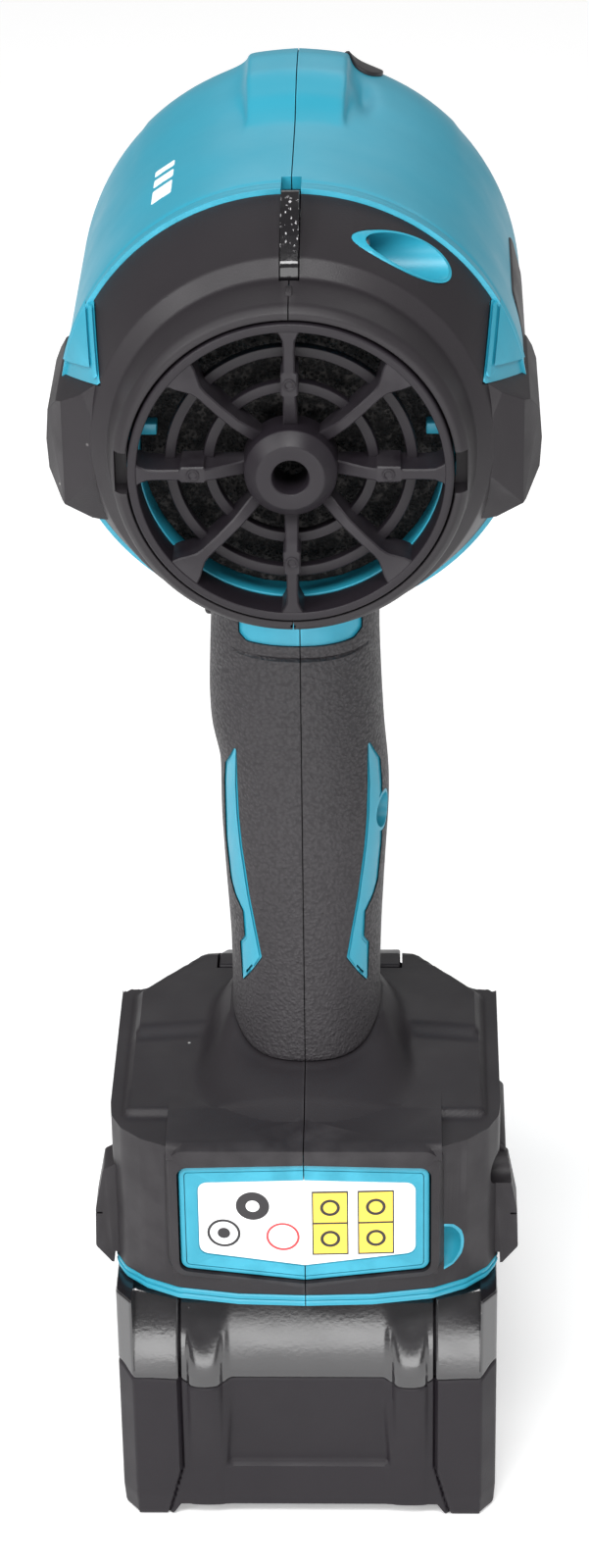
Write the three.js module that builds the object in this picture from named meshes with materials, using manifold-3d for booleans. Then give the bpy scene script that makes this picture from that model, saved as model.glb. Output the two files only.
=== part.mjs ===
// Cordless air duster: a round blower body on a pistol grip, standing on its slide-on battery.
// Units are millimetres. +Z is up, the nozzle points to +Y and the tool's right side is +X.
// The origin is on the battery's flat underside, below the middle of the grip.
import * as THREE from 'three';
import Module from 'manifold-3d';

const wasm = await Module();
wasm.setup();

// ---------- driving dimensions ----------
const GAP = 0.3;                // clearance between neighbouring pieces
const SPLIT = 0.12;             // half of the gap at the clamshell parting plane
const AXIS_Z = 271.6;           // height of the blower axis
const BODY_R = 47.2;            // blower body radius
const SHOULDER_Y = -40;         // rear edge of the bare housing
const RIM_Y = -71.3;            // rear rim of the collar
const RING_R = 32.1;            // outer radius of the inlet cover
const FLOW_R = 30.5;            // bore of the fan case
const BATTERY_W = 86;
const BATTERY_REAR = -60;
const BATTERY_FRONT = 58;
const BATTERY_SPLIT_Z = 38;
const BATTERY_TOP_Z = 61.6;
const BASE_Z = 62;              // underside of the base
const BASE_TOP_Z = 106.5;
const GRIP_END_Z = 111;         // lower edge of the soft grip
const GRIP_TOP_Z = 225;
const GRIP_HALF_X = 18;
const GRIP_HALF_Y = 21;
const GRIP_LEAN = 0.1;          // rearward shift per millimetre going down the grip
const GRIP_MID_Y = -4;          // middle of the grip section at its top
const CELL_R = 10.4;
const CELL_L = 69;
const LATHE_SEGS = 36;
const SLIVER = 0.02;             // edges shorter than this are merged away

// ---------- colours ----------
const TEAL = 0x2f9db5;
const BLACK = 0x2b2a2d;
const RUBBER = 0x242326;
const STEEL = 0xa9adb2;
const COPPER = 0xb8743a;
const WHITE = 0xf2f2f0;
const BOARD = 0x1f5a3a;

const part = new THREE.Group();
part.name = 'cordless_air_duster';

// ---------- helpers ----------
function place(geometry, x, y, z) {
  geometry.translate(x, y, z);
  return geometry;
}

// Closed profile of [y, r] pairs turned about the Y axis at height z.
function turned(profile, z = AXIS_Z, segments = LATHE_SEGS) {
  const points = profile.map(([y, r]) => new THREE.Vector2(r, y));
  return place(new THREE.LatheGeometry(points, segments), 0, 0, z);
}

function closed(profile) {
  return [...profile, profile[0]];
}

function shapeOf(points) {
  return new THREE.Shape(points.map(([u, v]) => new THREE.Vector2(u, v)));
}

function extruded(shape, depth) {
  return new THREE.ExtrudeGeometry(shape, { depth, bevelEnabled: false, curveSegments: 8 });
}

// Outline of [x, z] pairs, running from y0 to y1.
function alongY(points, y0, y1) {
  const geometry = extruded(shapeOf(points), y1 - y0);
  geometry.rotateX(Math.PI / 2);
  return place(geometry, 0, y1, 0);
}

// Outline of [y, z] pairs, running from x0 to x1.
function alongX(points, x0, x1) {
  const geometry = extruded(shapeOf(points), x1 - x0);
  geometry.rotateY(Math.PI / 2);
  geometry.rotateX(Math.PI / 2);
  return place(geometry, x0, 0, 0);
}

// Outline of [x, y] pairs, running from z0 to z1.
function alongZ(points, z0, z1) {
  return place(extruded(shapeOf(points), z1 - z0), 0, 0, z0);
}

function block(x0, x1, y0, y1, z0, z1) {
  const geometry = new THREE.BoxGeometry(x1 - x0, y1 - y0, z1 - z0);
  return place(geometry, (x0 + x1) / 2, (y0 + y1) / 2, (z0 + z1) / 2);
}

function rodX(r, x0, x1, y, z, segments = 14) {
  const geometry = new THREE.CylinderGeometry(r, r, x1 - x0, segments);
  geometry.rotateZ(Math.PI / 2);
  return place(geometry, (x0 + x1) / 2, y, z);
}

function rodY(r, y0, y1, x, z, segments = 16) {
  return place(new THREE.CylinderGeometry(r, r, y1 - y0, segments), x, (y0 + y1) / 2, z);
}

function rodZ(r, z0, z1, x, y, segments = 16) {
  const geometry = new THREE.CylinderGeometry(r, r, z1 - z0, segments);
  geometry.rotateX(Math.PI / 2);
  return place(geometry, x, y, (z0 + z1) / 2);
}

// Points of an oval, or of a squarer one when the power is above 2.
function oval(halfX, halfY, cx, cy, power = 2, count = 24) {
  const points = [];
  for (let i = 0; i < count; i += 1) {
    const angle = (2 * Math.PI * i) / count;
    const c = Math.cos(angle);
    const s = Math.sin(angle);
    points.push([
      cx + halfX * Math.sign(c) * Math.abs(c) ** (2 / power),
      cy + halfY * Math.sign(s) * Math.abs(s) ** (2 / power),
    ]);
  }
  return points;
}

// Rectangle with rounded corners.
function roundRect(u0, u1, v0, v1, r, steps = 3) {
  const points = [];
  const corners = [[u1 - r, v1 - r, 0], [u0 + r, v1 - r, 1], [u0 + r, v0 + r, 2], [u1 - r, v0 + r, 3]];
  for (const [cu, cv, quarter] of corners) {
    for (let i = 0; i <= steps; i += 1) {
      const angle = ((quarter + i / steps) * Math.PI) / 2;
      points.push([cu + r * Math.cos(angle), cv + r * Math.sin(angle)]);
    }
  }
  return points;
}

function solid(geometry) {
  const index = geometry.index ? geometry.index.array : null;
  const source = geometry.attributes.position.array;
  const seen = new Map();
  const verts = [];
  const remap = [];
  for (let i = 0; i < source.length / 3; i += 1) {
    const p = [source[3 * i], source[3 * i + 1], source[3 * i + 2]];
    const key = p.map((value) => Math.round(value * 1e4)).join();
    if (!seen.has(key)) {
      seen.set(key, verts.length / 3);
      verts.push(...p);
    }
    remap.push(seen.get(key));
  }
  const tris = [];
  const count = index ? index.length : source.length / 3;
  for (let i = 0; i < count; i += 3) {
    const [a, b, c] = [0, 1, 2].map((k) => remap[index ? index[i + k] : i + k]);
    if (a !== b && b !== c && a !== c) {
      tris.push(a, b, c);
    }
  }
  return new wasm.Manifold(new wasm.Mesh({
    numProp: 3,
    vertProperties: new Float32Array(verts),
    triVerts: new Uint32Array(tris),
  }));
}

function asSolid(item) {
  return item.isBufferGeometry ? solid(item) : item;
}

function join(...items) {
  return items.map(asSolid).reduce((whole, item) => whole.add(item));
}

function cut(base, ...items) {
  return items.map(asSolid).reduce((whole, item) => whole.subtract(item), asSolid(base));
}

function common(...items) {
  return items.map(asSolid).reduce((whole, item) => whole.intersect(item));
}

function add(name, item, color) {
  const body = asSolid(item).simplify(SLIVER).getMesh();
  const geometry = new THREE.BufferGeometry();
  geometry.setAttribute('position', new THREE.BufferAttribute(new Float32Array(body.vertProperties), 3));
  geometry.setIndex(new THREE.BufferAttribute(new Uint32Array(body.triVerts), 1));
  const mesh = new THREE.Mesh(geometry, new THREE.MeshStandardMaterial({ color }));
  mesh.name = name;
  part.add(mesh);
}

const leftSide = block(-90, -SPLIT, -120, 160, -10, 340);
const rightSide = block(SPLIT, 90, -120, 160, -10, 340);

function addHalves(name, item, color) {
  const whole = asSolid(item);
  add(`${name}_left`, common(whole, leftSide), color);
  add(`${name}_right`, common(whole, rightSide), color);
}

// Upright oval column that leans back going down; grown by `offset` all round.
function gripColumn(offset, z0, z1) {
  const outline = oval(GRIP_HALF_X + offset, GRIP_HALF_Y + offset, 0, GRIP_MID_Y, 2.35);
  const geometry = alongZ(outline, z0, z1);
  const shear = new THREE.Matrix4().set(1, 0, 0, 0, 0, 1, GRIP_LEAN, -GRIP_LEAN * GRIP_TOP_Z, 0, 0, 1, 0, 0, 0, 0, 1);
  geometry.applyMatrix4(shear);
  return geometry;
}

// Leaves the base lower towards both front corners; `inset` sinks the sloping face.
function cornerSlope(side, inset) {
  const wedge = alongY([[-4, 111.5 - 1.6 * inset], [60, 31.5 - 1.6 * inset], [60, 130], [-4, 130]], -70, 70);
  wedge.rotateZ(side > 0 ? 0.69 : Math.PI - 0.69);
  return place(wedge, side * 36.3, 1.3, 0);
}

// Base block: the overlap of its plan, its side outline and its rear outline, shrunk by `inset`.
function baseBlock(inset, z0) {
  const i = inset;
  const w = 43.5 - i;
  const halfPlan = [[15, -61.3 + i], [28.5 - i / 2, -59 + i], [36 - i, -55.2 + i], [40.7 - i, -51 + i / 2],
    [w - 0.4, -46], [w, -41], [w, 34], [40 - i, 44 - i / 2], [32 - i, 52 - i]];
  const plan = alongZ([[0, -61.8 + i], ...halfPlan, ...halfPlan.map(([x, y]) => [-x, y]).reverse()], z0, 140);
  const side = alongX([
    [-62 + i, 40], [52 - i, 40], [52 - i, 80 - i], [46, 87.5 - i], [15, BASE_TOP_Z - i],
    [-15, BASE_TOP_Z - i], [-17, 104.3 - i], [-45.5 + i / 2, 104.3 - i], [-51 + i, 92.3 - i / 2],
    [-59 + i, 66], [-62 + i, 65],
  ], -60, 60);
  const rear = alongY([
    [-w, 40], [w, 40], [w, 93 - i], [38.6 - i, BASE_TOP_Z - i], [-38.6 + i, BASE_TOP_Z - i], [-w, 93 - i],
  ], -70, 70);
  return cut(common(plan, side, rear), cornerSlope(-1, i), cornerSlope(1, i));
}

// ---------- screws along X: [name, y, z, head x, tip x] ----------
const screws = [
  ['shoulder', -47.5, 308.8, 12.6, 5.5],
  ['body_front', 29, 310, 10, -8],
  ['grip_top', -20.6, 213.5, 5.5, -8],
  ['grip_middle', -18.5, 165, 8, -8],
  ['base_rear', -45.5, 88.5, 12, -10],
  ['base_front', 38.5, 79.4, 12, -10],
];

// ---------- housing: two mirrored halves of one hollow shell ----------
const bodyMass = turned([
  [-59.7, 0], [-59.7, 34.0], [-56.5, 37.3], [SHOULDER_Y, 43.9], [SHOULDER_Y, BODY_R], [30, BODY_R],
  [36, 46.1], [42, 44.3], [48, 41.4], [54, 37], [60, 31], [63, 26.6], [63, 0],
]);
const bodyRoom = turned([
  [-62, 0], [-62, 31], [-55.3, 31], [-55.3, 34.8], [-39, 41.3], [-35, 44.6], [29, 44.6], [35, 43.5],
  [41, 41.7], [47, 38.8], [53, 34.4], [59, 28.4], [64, 22.5], [64, 0],
]);
const spine = alongX([
  [-5, 311], [-5, 318], [5, 322.4], [14, 324], [25, 323.6], [35, 319.5], [44, 310], [44, 300], [30, 308],
], -10.6, 10.6);
const spineShoulders = alongY([
  [-14, 300], [14, 300], [11, 317], [9, 322.5], [6, 324.2], [-6, 324.2], [-9, 322.5], [-11, 317],
], -10, 50);
const tongueFace = [[53, 275.2], [47.4, 279.2], [38.9, 284.3], [40.6, 295.2], [53, 295.2]];
const sideTongue = alongY(tongueFace.map(([x, z]) => [-x, z]), -56.5, -39);
const sideTongueRight = alongY(tongueFace, -56.5, -39);
const tongueSkin = turned(closed([[-56.5, 36.5], [-56.5, 40.6], [SHOULDER_Y, BODY_R], [-39, BODY_R], [-39, 43]]));
const tongues = join(common(sideTongue, tongueSkin), common(sideTongueRight, tongueSkin));

const gripBore = gripColumn(-5.2, 88, 240);
const gripCore = cut(gripColumn(-2.3, 95, 232), gripBore);
const baseCore = baseBlock(2.6, BASE_Z + 0.2);
const baseCavity = baseBlock(5, BASE_Z + 16.5);
const railPocket = join(
  block(-21.4, 21.4, -50, 60, BASE_Z - 1, BASE_Z + 13),
  block(-25.4, 25.4, -50, 60, BASE_Z + 4.2, BASE_Z + 13),
);
const terminalWell = block(-19, 19, -44, 8, BASE_Z + 12, BASE_Z + 18);
const labelFrame = alongY(roundRect(-27.7, 27.7, 69.2, 99.2, 4), -61.6, -44);
const labelSeat = alongY(roundRect(-24.9, 24.9, 72.6, 95.9, 3), -62.5, -60.6);

// Slots of bare housing that show down both sides of the grip's back.
function gripStripe(side, grow) {
  return alongY([
    [side * 14.1, 184 + grow], [side * (17.1 + grow), 175], [side * (17.2 + grow), 166],
    [side * (16.2 + grow), 149], [side * (13.6 + grow), 145], [side * (13.5 + grow), 126 - 3 * grow],
    [side * (8.8 - grow), 134.8], [side * (11.8 - grow), 148.6], [side * (13.6 - grow), 167],
  ], -48, -14);
}

const stripes = common(
  gripColumn(-0.4, 108, 190),
  join(gripStripe(-1, -0.3), gripStripe(1, -0.3)),
);

const neckCollar = common(
  gripColumn(-0.6, 208.2, 231),
  block(-13, 13, -40, -16, 208.2, 232),
);

const outerMass = join(bodyMass, gripColumn(-2.3, 95, 232), baseCore);
const bosses = common(
  join(...screws.map(([, y, z, , tip]) => rodX(4, tip > 0 ? tip - 1.5 : -60, 60, y, z))),
  outerMass,
);

function screwHoles(shankR, headR) {
  return join(...screws.flatMap(([, y, z, head, tip]) => [
    rodX(shankR, tip - 0.4, head + 1, y, z, 14),
    rodX(headR, head, 60, y, z),
  ]));
}

// ---------- hanging loop and its slot ----------
const hookPivot = [-38.5, 312.6];
const hookSlot = block(-1.95, 1.95, -60.4, -33.9, 304.9, 330);
const hookPocket = common(block(-4.2, 4.2, -55.4, -31.5, 303.9, 318), bodyMass);
const hookOutline = [
  [-34.6, 311.6], [-35.2, 314.8], [-38.2, 317.6], [-43.5, 319.2], [-49, 317.9], [-54.5, 314.8],
  [-59.2, 310.4], [-59.9, 307.2], [-58.6, 305.4], [-50, 305.3], [-42, 306.8], [-36.4, 309.2],
];
const hookEye = [[-42.6, 313.4], [-48.5, 312.3], [-54.2, 309.2], [-53.8, 308.2], [-46.5, 308.5], [-42.9, 310.3]];

// ---------- trigger opening ----------
const triggerWindow = block(-7.3, 7.3, -1, 40, 189.6, 218.6);

let shell = join(bodyMass, common(spine, spineShoulders), tongues, gripCore, stripes, neckCollar, baseCore);
shell = cut(shell, bodyRoom, gripBore, baseCavity);
shell = join(shell, labelFrame, bosses, hookPocket, baseFlange());
shell = cut(shell, railPocket, terminalWell, labelSeat, screwHoles(1.7, 3.5), hookSlot, triggerWindow);
shell = cut(shell, panelPocket(), rodX(1.35, -3.4, 3.4, ...hookPivot, 14), lockBore());

function baseFlange() {
  return cut(common(baseBlock(0.3, BASE_Z + 0.2), block(-60, 60, -70, 70, 60, BASE_Z + 2.2)), baseBlock(5, 60));
}

// Panel recess in the base top ahead of the grip.
function panelPocket() {
  return alongX([[8.6, 99.5], [8.6, 115], [46.6, 115], [46.6, 82], [16, 98.1]], -21.6, 21.6);
}

function lockBore() {
  return rodX(4.9, -30, -7.5, 4, 207);
}

addHalves('housing', shell, TEAL);

// ---------- shoulder covers round the inlet, with a bumper on each side ----------
const bodyClear = turned([
  [-62, 0], [-62, 32.5], [-60, 32.5], [-60, 34.3], [-56.7, 37.7], [SHOULDER_Y - GAP, 44.3],
  [SHOULDER_Y - GAP, BODY_R + GAP], [6, BODY_R + GAP], [6, 0],
]);
const shoulderSkin = turned(closed([
  [RIM_Y, 32.5], [RIM_Y, 33.8], [-69.8, 35.2], [-60, 36.7], [-57.5, 40.2], [SHOULDER_Y - GAP, 46.7],
  [SHOULDER_Y - GAP, 44.3], [-56.7, 37.7], [-60, 34.3], [-60, 32.5],
]));

function bumper(side) {
  const face = alongY([
    [33, 284.8], [39, 283.6], [47.4, 278.4], [49.3, 275], [50, 268], [49.6, 258], [46.6, 252.5],
    [41, 247.5], [36, 246], [33, 262],
  ].map(([x, z]) => [side * x, z]), -58, -20);
  const plan = alongZ([[20, -58], [40, -58], [46.5, -53], [50.3, -46], [50.3, -27], [48.8, -20], [20, -20]]
    .map(([x, y]) => [side * x, y]), 230, 285);
  return common(face, plan);
}

function tongueRoom(side) {
  return alongY([[53, 274.8], [47.4, 278.8], [38.6, 283.9], [40.3, 295.5], [53, 295.5]]
    .map(([x, z]) => [side * x, z]), -72, -39);
}

const shoulder = join(cut(join(bumper(-1), bumper(1)), bodyClear), shoulderSkin);
addHalves(
  'shoulder',
  cut(shoulder, tongueRoom(-1), tongueRoom(1), hookSlot, block(-70, 70, -62, -40, 200, 236), screwHoles(1.7, 4.8)),
  BLACK,
);

// ---------- inlet cover ----------
const coverRing = turned(closed([[-72, 30.4], [-72, RING_R], [-60.4, RING_R], [-60.4, 30.4]]));
const coverSpokes = [];
for (let i = 0; i < 8; i += 1) {
  const spoke = alongZ([[8, -67.6], [14, -71.8], [31, -71.8], [31, -63.9], [8, -63.9]], -1.45, 1.45);
  spoke.rotateY((i * Math.PI) / 4);
  coverSpokes.push(place(spoke, 0, 0, AXIS_Z));
}
const coverHub = turned(closed([
  [-73.2, 3.7], [-73.2, 6.6], [-72.6, 7.1], [-70, 9.5], [-63.9, 9.5], [-63.9, 3.7],
]), AXIS_Z, 20);
const coverRings = [16.3, 23.9].map((r) => turned(closed([
  [-66.2, r - 1.1], [-66.2, r + 1.1], [-63.9, r + 1.1], [-63.9, r - 1.1],
]), AXIS_Z, 24));
add('inlet_cover', join(coverRing, coverHub, ...coverRings, ...coverSpokes), BLACK);
add('dust_filter', rodY(30, -63.5, -57.6, 0, AXIS_Z, 32), 0x151517);

// ---------- hanging loop ----------
const hookBlank = cut(alongX(hookOutline, -1.65, 1.65), alongX(hookEye, -3, 3));
add('hanging_loop', cut(hookBlank, rodX(1.3, -3, 3, ...hookPivot, 14)), BLACK);
add('loop_pin', rodX(1.2, -3.2, 3.2, ...hookPivot, 14), STEEL);

// ---------- fan case, motor and fan ----------
const VANES = 7;
const BLADES = 9;
const caseTube = turned(closed([
  [-54.8, FLOW_R], [-54.8, 32], [20, 32], [38, 28.6], [52, 23.5], [66, 20.4], [66, 18.8], [52, 21.9],
  [38, 27], [19, FLOW_R],
]), AXIS_Z, 28);
const motorPod = turned(closed([
  [-26, 8.15], [-26, 18.5], [-24, 20], [24, 20], [24, 17.8], [-23.5, 17.8], [-23.5, 8.15],
]), AXIS_Z, 24);
const vanes = [];
for (let i = 0; i < VANES; i += 1) {
  const vane = block(19, 31.2, -22, 2, -0.8, 0.8);
  vane.rotateY((2 * Math.PI * i) / VANES);
  vanes.push(place(vane, 0, 0, AXIS_Z));
}
add('fan_case', join(caseTube, motorPod, ...vanes), 0x3a3a3e);
add('motor_cap', turned(closed([
  [24.3, 6.2], [24.3, 19.7], [30, 19], [40, 14], [46, 8], [46, 3], [31, 3], [31, 6.2],
]), AXIS_Z, 24), 0x3a3a3e);
add('motor_stator', turned(closed([[-19, 10.8], [-19, 17.5], [15, 17.5], [15, 10.8]]), AXIS_Z, 24), COPPER);
add('motor_rotor', turned(closed([[-17, 2.55], [-17, 10.3], [13, 10.3], [13, 2.55]]), AXIS_Z, 20), STEEL);
add('motor_shaft', rodY(2.5, -52, 30.4, 0, AXIS_Z, 16), STEEL);
add('bearing_rear', turned(closed([[-25.8, 2.6], [-25.8, 8], [-20, 8], [-20, 2.6]]), AXIS_Z, 16), STEEL);
add('bearing_front', turned(closed([[24.6, 2.6], [24.6, 6], [29.6, 6], [29.6, 2.6]]), AXIS_Z, 16), STEEL);
const fanHub = turned(closed([
  [-51, 2.6], [-51, 6], [-46, 9], [-37, 19], [-32, 28.6], [-29.6, 29], [-29.6, 2.6],
]), AXIS_Z, 24);
const fanEnvelope = turned([[-50, 0], [-50, 24], [-44, 29], [-31, 29], [-31, 0]], AXIS_Z, 24);
const blades = [];
for (let i = 0; i < BLADES; i += 1) {
  const blade = block(-0.6, 0.6, -54, -30, 5, 32);
  blade.rotateZ(0.45);
  blade.translate(-18.5, 0, 0);
  const turnedBlade = place(blade, 0, 0, 0);
  turnedBlade.rotateY((2 * Math.PI * i) / BLADES);
  blades.push(place(turnedBlade, 0, 0, AXIS_Z));
}
const fanBlades = cut(common(join(...blades), fanEnvelope), rodY(4, -60, -20, 0, AXIS_Z));
add('fan_impeller', join(fanHub, fanBlades), 0x4a4a4e);

// ---------- outlet and nozzle ----------
add('outlet_collar', turned(closed([
  [63.4, 21.3], [63.4, 25.6], [70, 25], [78, 22.5], [78, 17.5], [66.4, 17.5], [66.4, 21.3],
]), AXIS_Z, 28), BLACK);
add('nozzle', turned(closed([
  [67, 15.2], [67, 17.1], [78.3, 17.1], [78.3, 21.8], [82, 21.8], [84, 18.5], [98, 12.8], [128, 9.2],
  [131, 8.2], [131, 6.5], [98, 9.8], [80, 14.6],
]), AXIS_Z, 28), RUBBER);

// ---------- grip covers ----------
const gripLobes = join(
  common(place(new THREE.SphereGeometry(1, 14, 8).scale(7, 24, 24), -14.2, -4, 200), block(-40, 0, -40, 40, 176, 240)),
  common(place(new THREE.SphereGeometry(1, 14, 8).scale(6, 20, 22), 13.4, -4, 202), block(0, 40, -40, 40, 176, 240)),
);
const gripRubber = cut(
  join(gripColumn(0, GRIP_END_Z, GRIP_TOP_Z + 8), gripLobes),
  gripColumn(-2, 90, 250),
  turned([[-62, 0], [-62, BODY_R + GAP], [20, BODY_R + GAP], [20, 0]]),
  gripStripe(-1, 0),
  gripStripe(1, 0),
  block(-13.3, 13.3, -60, -15.7, 207.6, 260),
  triggerWindow,
  lockBore(),
  screwHoles(1.7, 3.8),
);
addHalves('grip', gripRubber, RUBBER);

// ---------- base covers with side bumpers and the label surround ----------
function baseBumper(side) {
  return alongY([
    [41.5, 90.2], [45.4, 88.4], [47.6, 78], [47.8, 68], [44.2, 62.8], [43.8, 62.8], [43.8, 65.6], [41.5, 65.6],
  ].map(([x, z]) => [side * x, z]), -47, -38);
}

const sideRib = alongY([[42, 84], [45, 84], [45, 90], [43.4, 91.6], [42, 91.6]], -40, -14);

const surround = alongY(roundRect(-30.8, 30.8, BASE_Z + 2.5, 104.4, 6), -62.3, -44);
const frameRoom = alongY(roundRect(-28, 28, BASE_Z, 99.5, 4), -70, -40);
const neckDome = common(
  alongX([[-47, 100], [-47, 104.5], [-43.5, 108.6], [-36, GRIP_END_Z - GAP], [24, GRIP_END_Z - GAP], [24, 100]], -24, 24),
  join(gripColumn(1.6, 99, 112), common(gripColumn(10, 99, 112), block(-16, 16, -50, -20, 99, 112))),
);
const baseCover = cut(
  join(baseBlock(0, BASE_Z + 2.5), neckDome, baseBumper(-1), baseBumper(1), sideRib, surround),
  baseBlock(2.3, 50),
  gripColumn(-2, 80, 140),
  frameRoom,
  block(-25.7, 25.7, 40, 70, 56, BASE_Z + 13.2),
  panelPocket(),
  screwHoles(1.7, 3.8),
);
addHalves('base_cover', baseCover, BLACK);
add('label_plate', alongY(roundRect(-24.6, 24.6, 72.9, 95.6, 2.8), -61.9, -60.9), WHITE);

// ---------- control panel ----------
const buttons = [['power_button', -7], ['mode_button', 7]];
const panelSlope = alongX([
  [9, 100], [9, 107.2], [16, 106.2], [46.2, 88.2], [46.2, 82.7], [16, 98.6],
], -21.2, 21.2);
const panelPad = alongX([[10, 100.2], [10, 104.8], [33, 104.8], [33, 92]], -14.5, 14.5);
const panelHoles = [...buttons.map(([, x]) => rodZ(4.6, 85, 130, x, 20)), rodZ(1.9, 80, 130, 0, 29.4, 16)];
add('control_panel', cut(join(panelSlope, panelPad), ...panelHoles), 0x3b3b40);
for (const [name, x] of buttons) {
  add(name, rodZ(4.3, 98.9, 105.8, x, 20), 0x6a6a70);
}
add('level_lamp', rodZ(1.7, 97, 105.1, 0, 29.4, 16), 0xdfe6e0);

// ---------- controls in the grip ----------
const triggerShape = alongX([
  [12.6, 190.2], [21.5, 190.2], [24.6, 193.5], [23.2, 203], [25.6, 213], [27.5, 217.9], [12.6, 217.9],
], -6.8, 6.8);
add('trigger', join(triggerShape, block(-3.6, 3.6, 0, 13, 200.2, 205.8)), BLACK);
add('switch_body', cut(block(-8, 8, -12.5, 3.6, 190, 209), block(-4.4, 4.4, -7, 4, 199.5, 206.5)), 0x55555a);
add('lock_button', rodX(4.6, -21.6, -11.6, 4, 207), BLACK);

// Round wire wound into a coil about the Y axis.
class Coil extends THREE.Curve {
  constructor(radius, y0, y1, z, turns) {
    super();
    Object.assign(this, { radius, y0, y1, z, turns });
  }

  getPoint(t, target = new THREE.Vector3()) {
    const angle = 2 * Math.PI * this.turns * t;
    return target.set(
      this.radius * Math.cos(angle),
      this.y0 + (this.y1 - this.y0) * t,
      this.z + this.radius * Math.sin(angle),
    );
  }
}

function wire(path, r, steps) {
  const section = shapeOf(oval(r, r, 0, 0, 2, 5));
  return new THREE.ExtrudeGeometry(section, { steps, bevelEnabled: false, extrudePath: path });
}

add('trigger_spring', wire(new Coil(5.6, 4.4, 11.8, 203, 3.5), 0.45, 30), STEEL);

// ---------- electronics in the base ----------
const fins = [];
for (let i = 0; i < 6; i += 1) {
  fins.push(block(-24, 24, -34 + 11 * i, -30 + 11 * i, 86, 89.5));
}
add('controller', join(block(-26, 26, -38, 27, 80.2, 86.8), ...fins), 0x8d9196);
add('terminal_block', block(-18.7, 18.7, -43.7, 7.7, BASE_Z + 13.3, BASE_Z + 17.6), 0x1c1c1f);
for (const [name, x, color] of [['lead_left', -5, 0x222222], ['lead_right', 5, 0xb03028]]) {
  const route = new THREE.CatmullRomCurve3([
    new THREE.Vector3(x, -21.5, 91.2),
    new THREE.Vector3(x, -18, 125),
    new THREE.Vector3(x, -11.5, 165),
    new THREE.Vector3(x, -15.2, 188),
    new THREE.Vector3(x, -15.2, 200),
    new THREE.Vector3(x, -14.7, 214),
    new THREE.Vector3(x, -8, 228),
    new THREE.Vector3(x, 2, 237),
  ]);
  add(name, wire(route, 1.3, 16), color);
}

// ---------- battery ----------
function batteryShell(z0, z1, r) {
  return alongZ(roundRect(-BATTERY_W / 2, BATTERY_W / 2, BATTERY_REAR, BATTERY_FRONT, r), z0, z1);
}

const cellRoom = alongZ(roundRect(-39.8, 39.8, -57, 55, 6), 2.6, 57.5);
const rail = join(block(-20.9, 20.9, -49, 50, 58, 74.4), block(-24.9, 24.9, -49, 50, 66.6, 74.4));
const buttonRoom = block(-13.4, 13.4, 50, 70, 41.6, 58.4);
const topGrooves = join(...[-1, 1].map((side) => rodZ(1.2, 20, 80, side * 34, BATTERY_REAR, 12)));
const lowerTaper = alongX([[-58.6, 0], [-60.4, 5], [-60.4, 90], [60, 90], [60, 5], [57, 0]], -60, 60);
const sideTaper = alongY([[-41.4, 0], [-43.4, 6], [-43.4, 90], [43.4, 90], [43.4, 6], [41.4, 0]], -70, 70);
add('battery_lower', cut(
  common(batteryShell(0, BATTERY_SPLIT_Z - SPLIT, 9), lowerTaper, sideTaper),
  cellRoom,
), BLACK);
add('battery_upper', cut(
  join(batteryShell(BATTERY_SPLIT_Z + SPLIT, BATTERY_TOP_Z, 9), rail),
  cellRoom,
  block(-17.5, 17.5, -46, 47, 56, 71.4),
  buttonRoom,
  topGrooves,
), BLACK);
add('release_button', join(block(-13, 13, 56.6, 60.2, 46.2, 58), block(-9, 9, 51, 57, 48.6, 56)), 0x3b3b40);
add('release_spring', wire(new Coil(2.2, 0, 5.8, 0, 3.5), 0.4, 26).rotateX(Math.PI / 2).translate(0, 54, 42.2), STEEL);
for (let layer = 0; layer < 2; layer += 1) {
  for (let row = 0; row < 5; row += 1) {
    const y = -43.6 + 21.3 * row;
    add(`cell_${layer}${row}`, rodX(CELL_R, -CELL_L / 2, CELL_L / 2, y, 13.6 + 21.3 * layer, 14), 0x3f7fb0);
  }
}
add('battery_board', block(-30, 30, -48, 40, 49.5, 51.1), BOARD);
const blades4 = [-12, -4, 4, 12].map((x) => block(x - 0.5, x + 0.5, -44, -24, 52, 69));
add('battery_terminals', join(block(-16, 16, -46, -22, 51.4, 53), ...blades4), 0xc9a64a);

// ---------- screws ----------
for (const [name, y, z, head, tip] of screws) {
  add(`screw_${name}`, join(rodX(1.5, tip, head + 0.6, y, z, 8), rodX(3.1, head + 0.3, head + 3, y, z, 12)), STEEL);
}

export default part;
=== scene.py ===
"""Looks of a cordless air duster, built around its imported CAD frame. Shapes are written in millimetres."""
import math

import bmesh
import bpy
import numpy as np
from mathutils import Matrix, Vector


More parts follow.
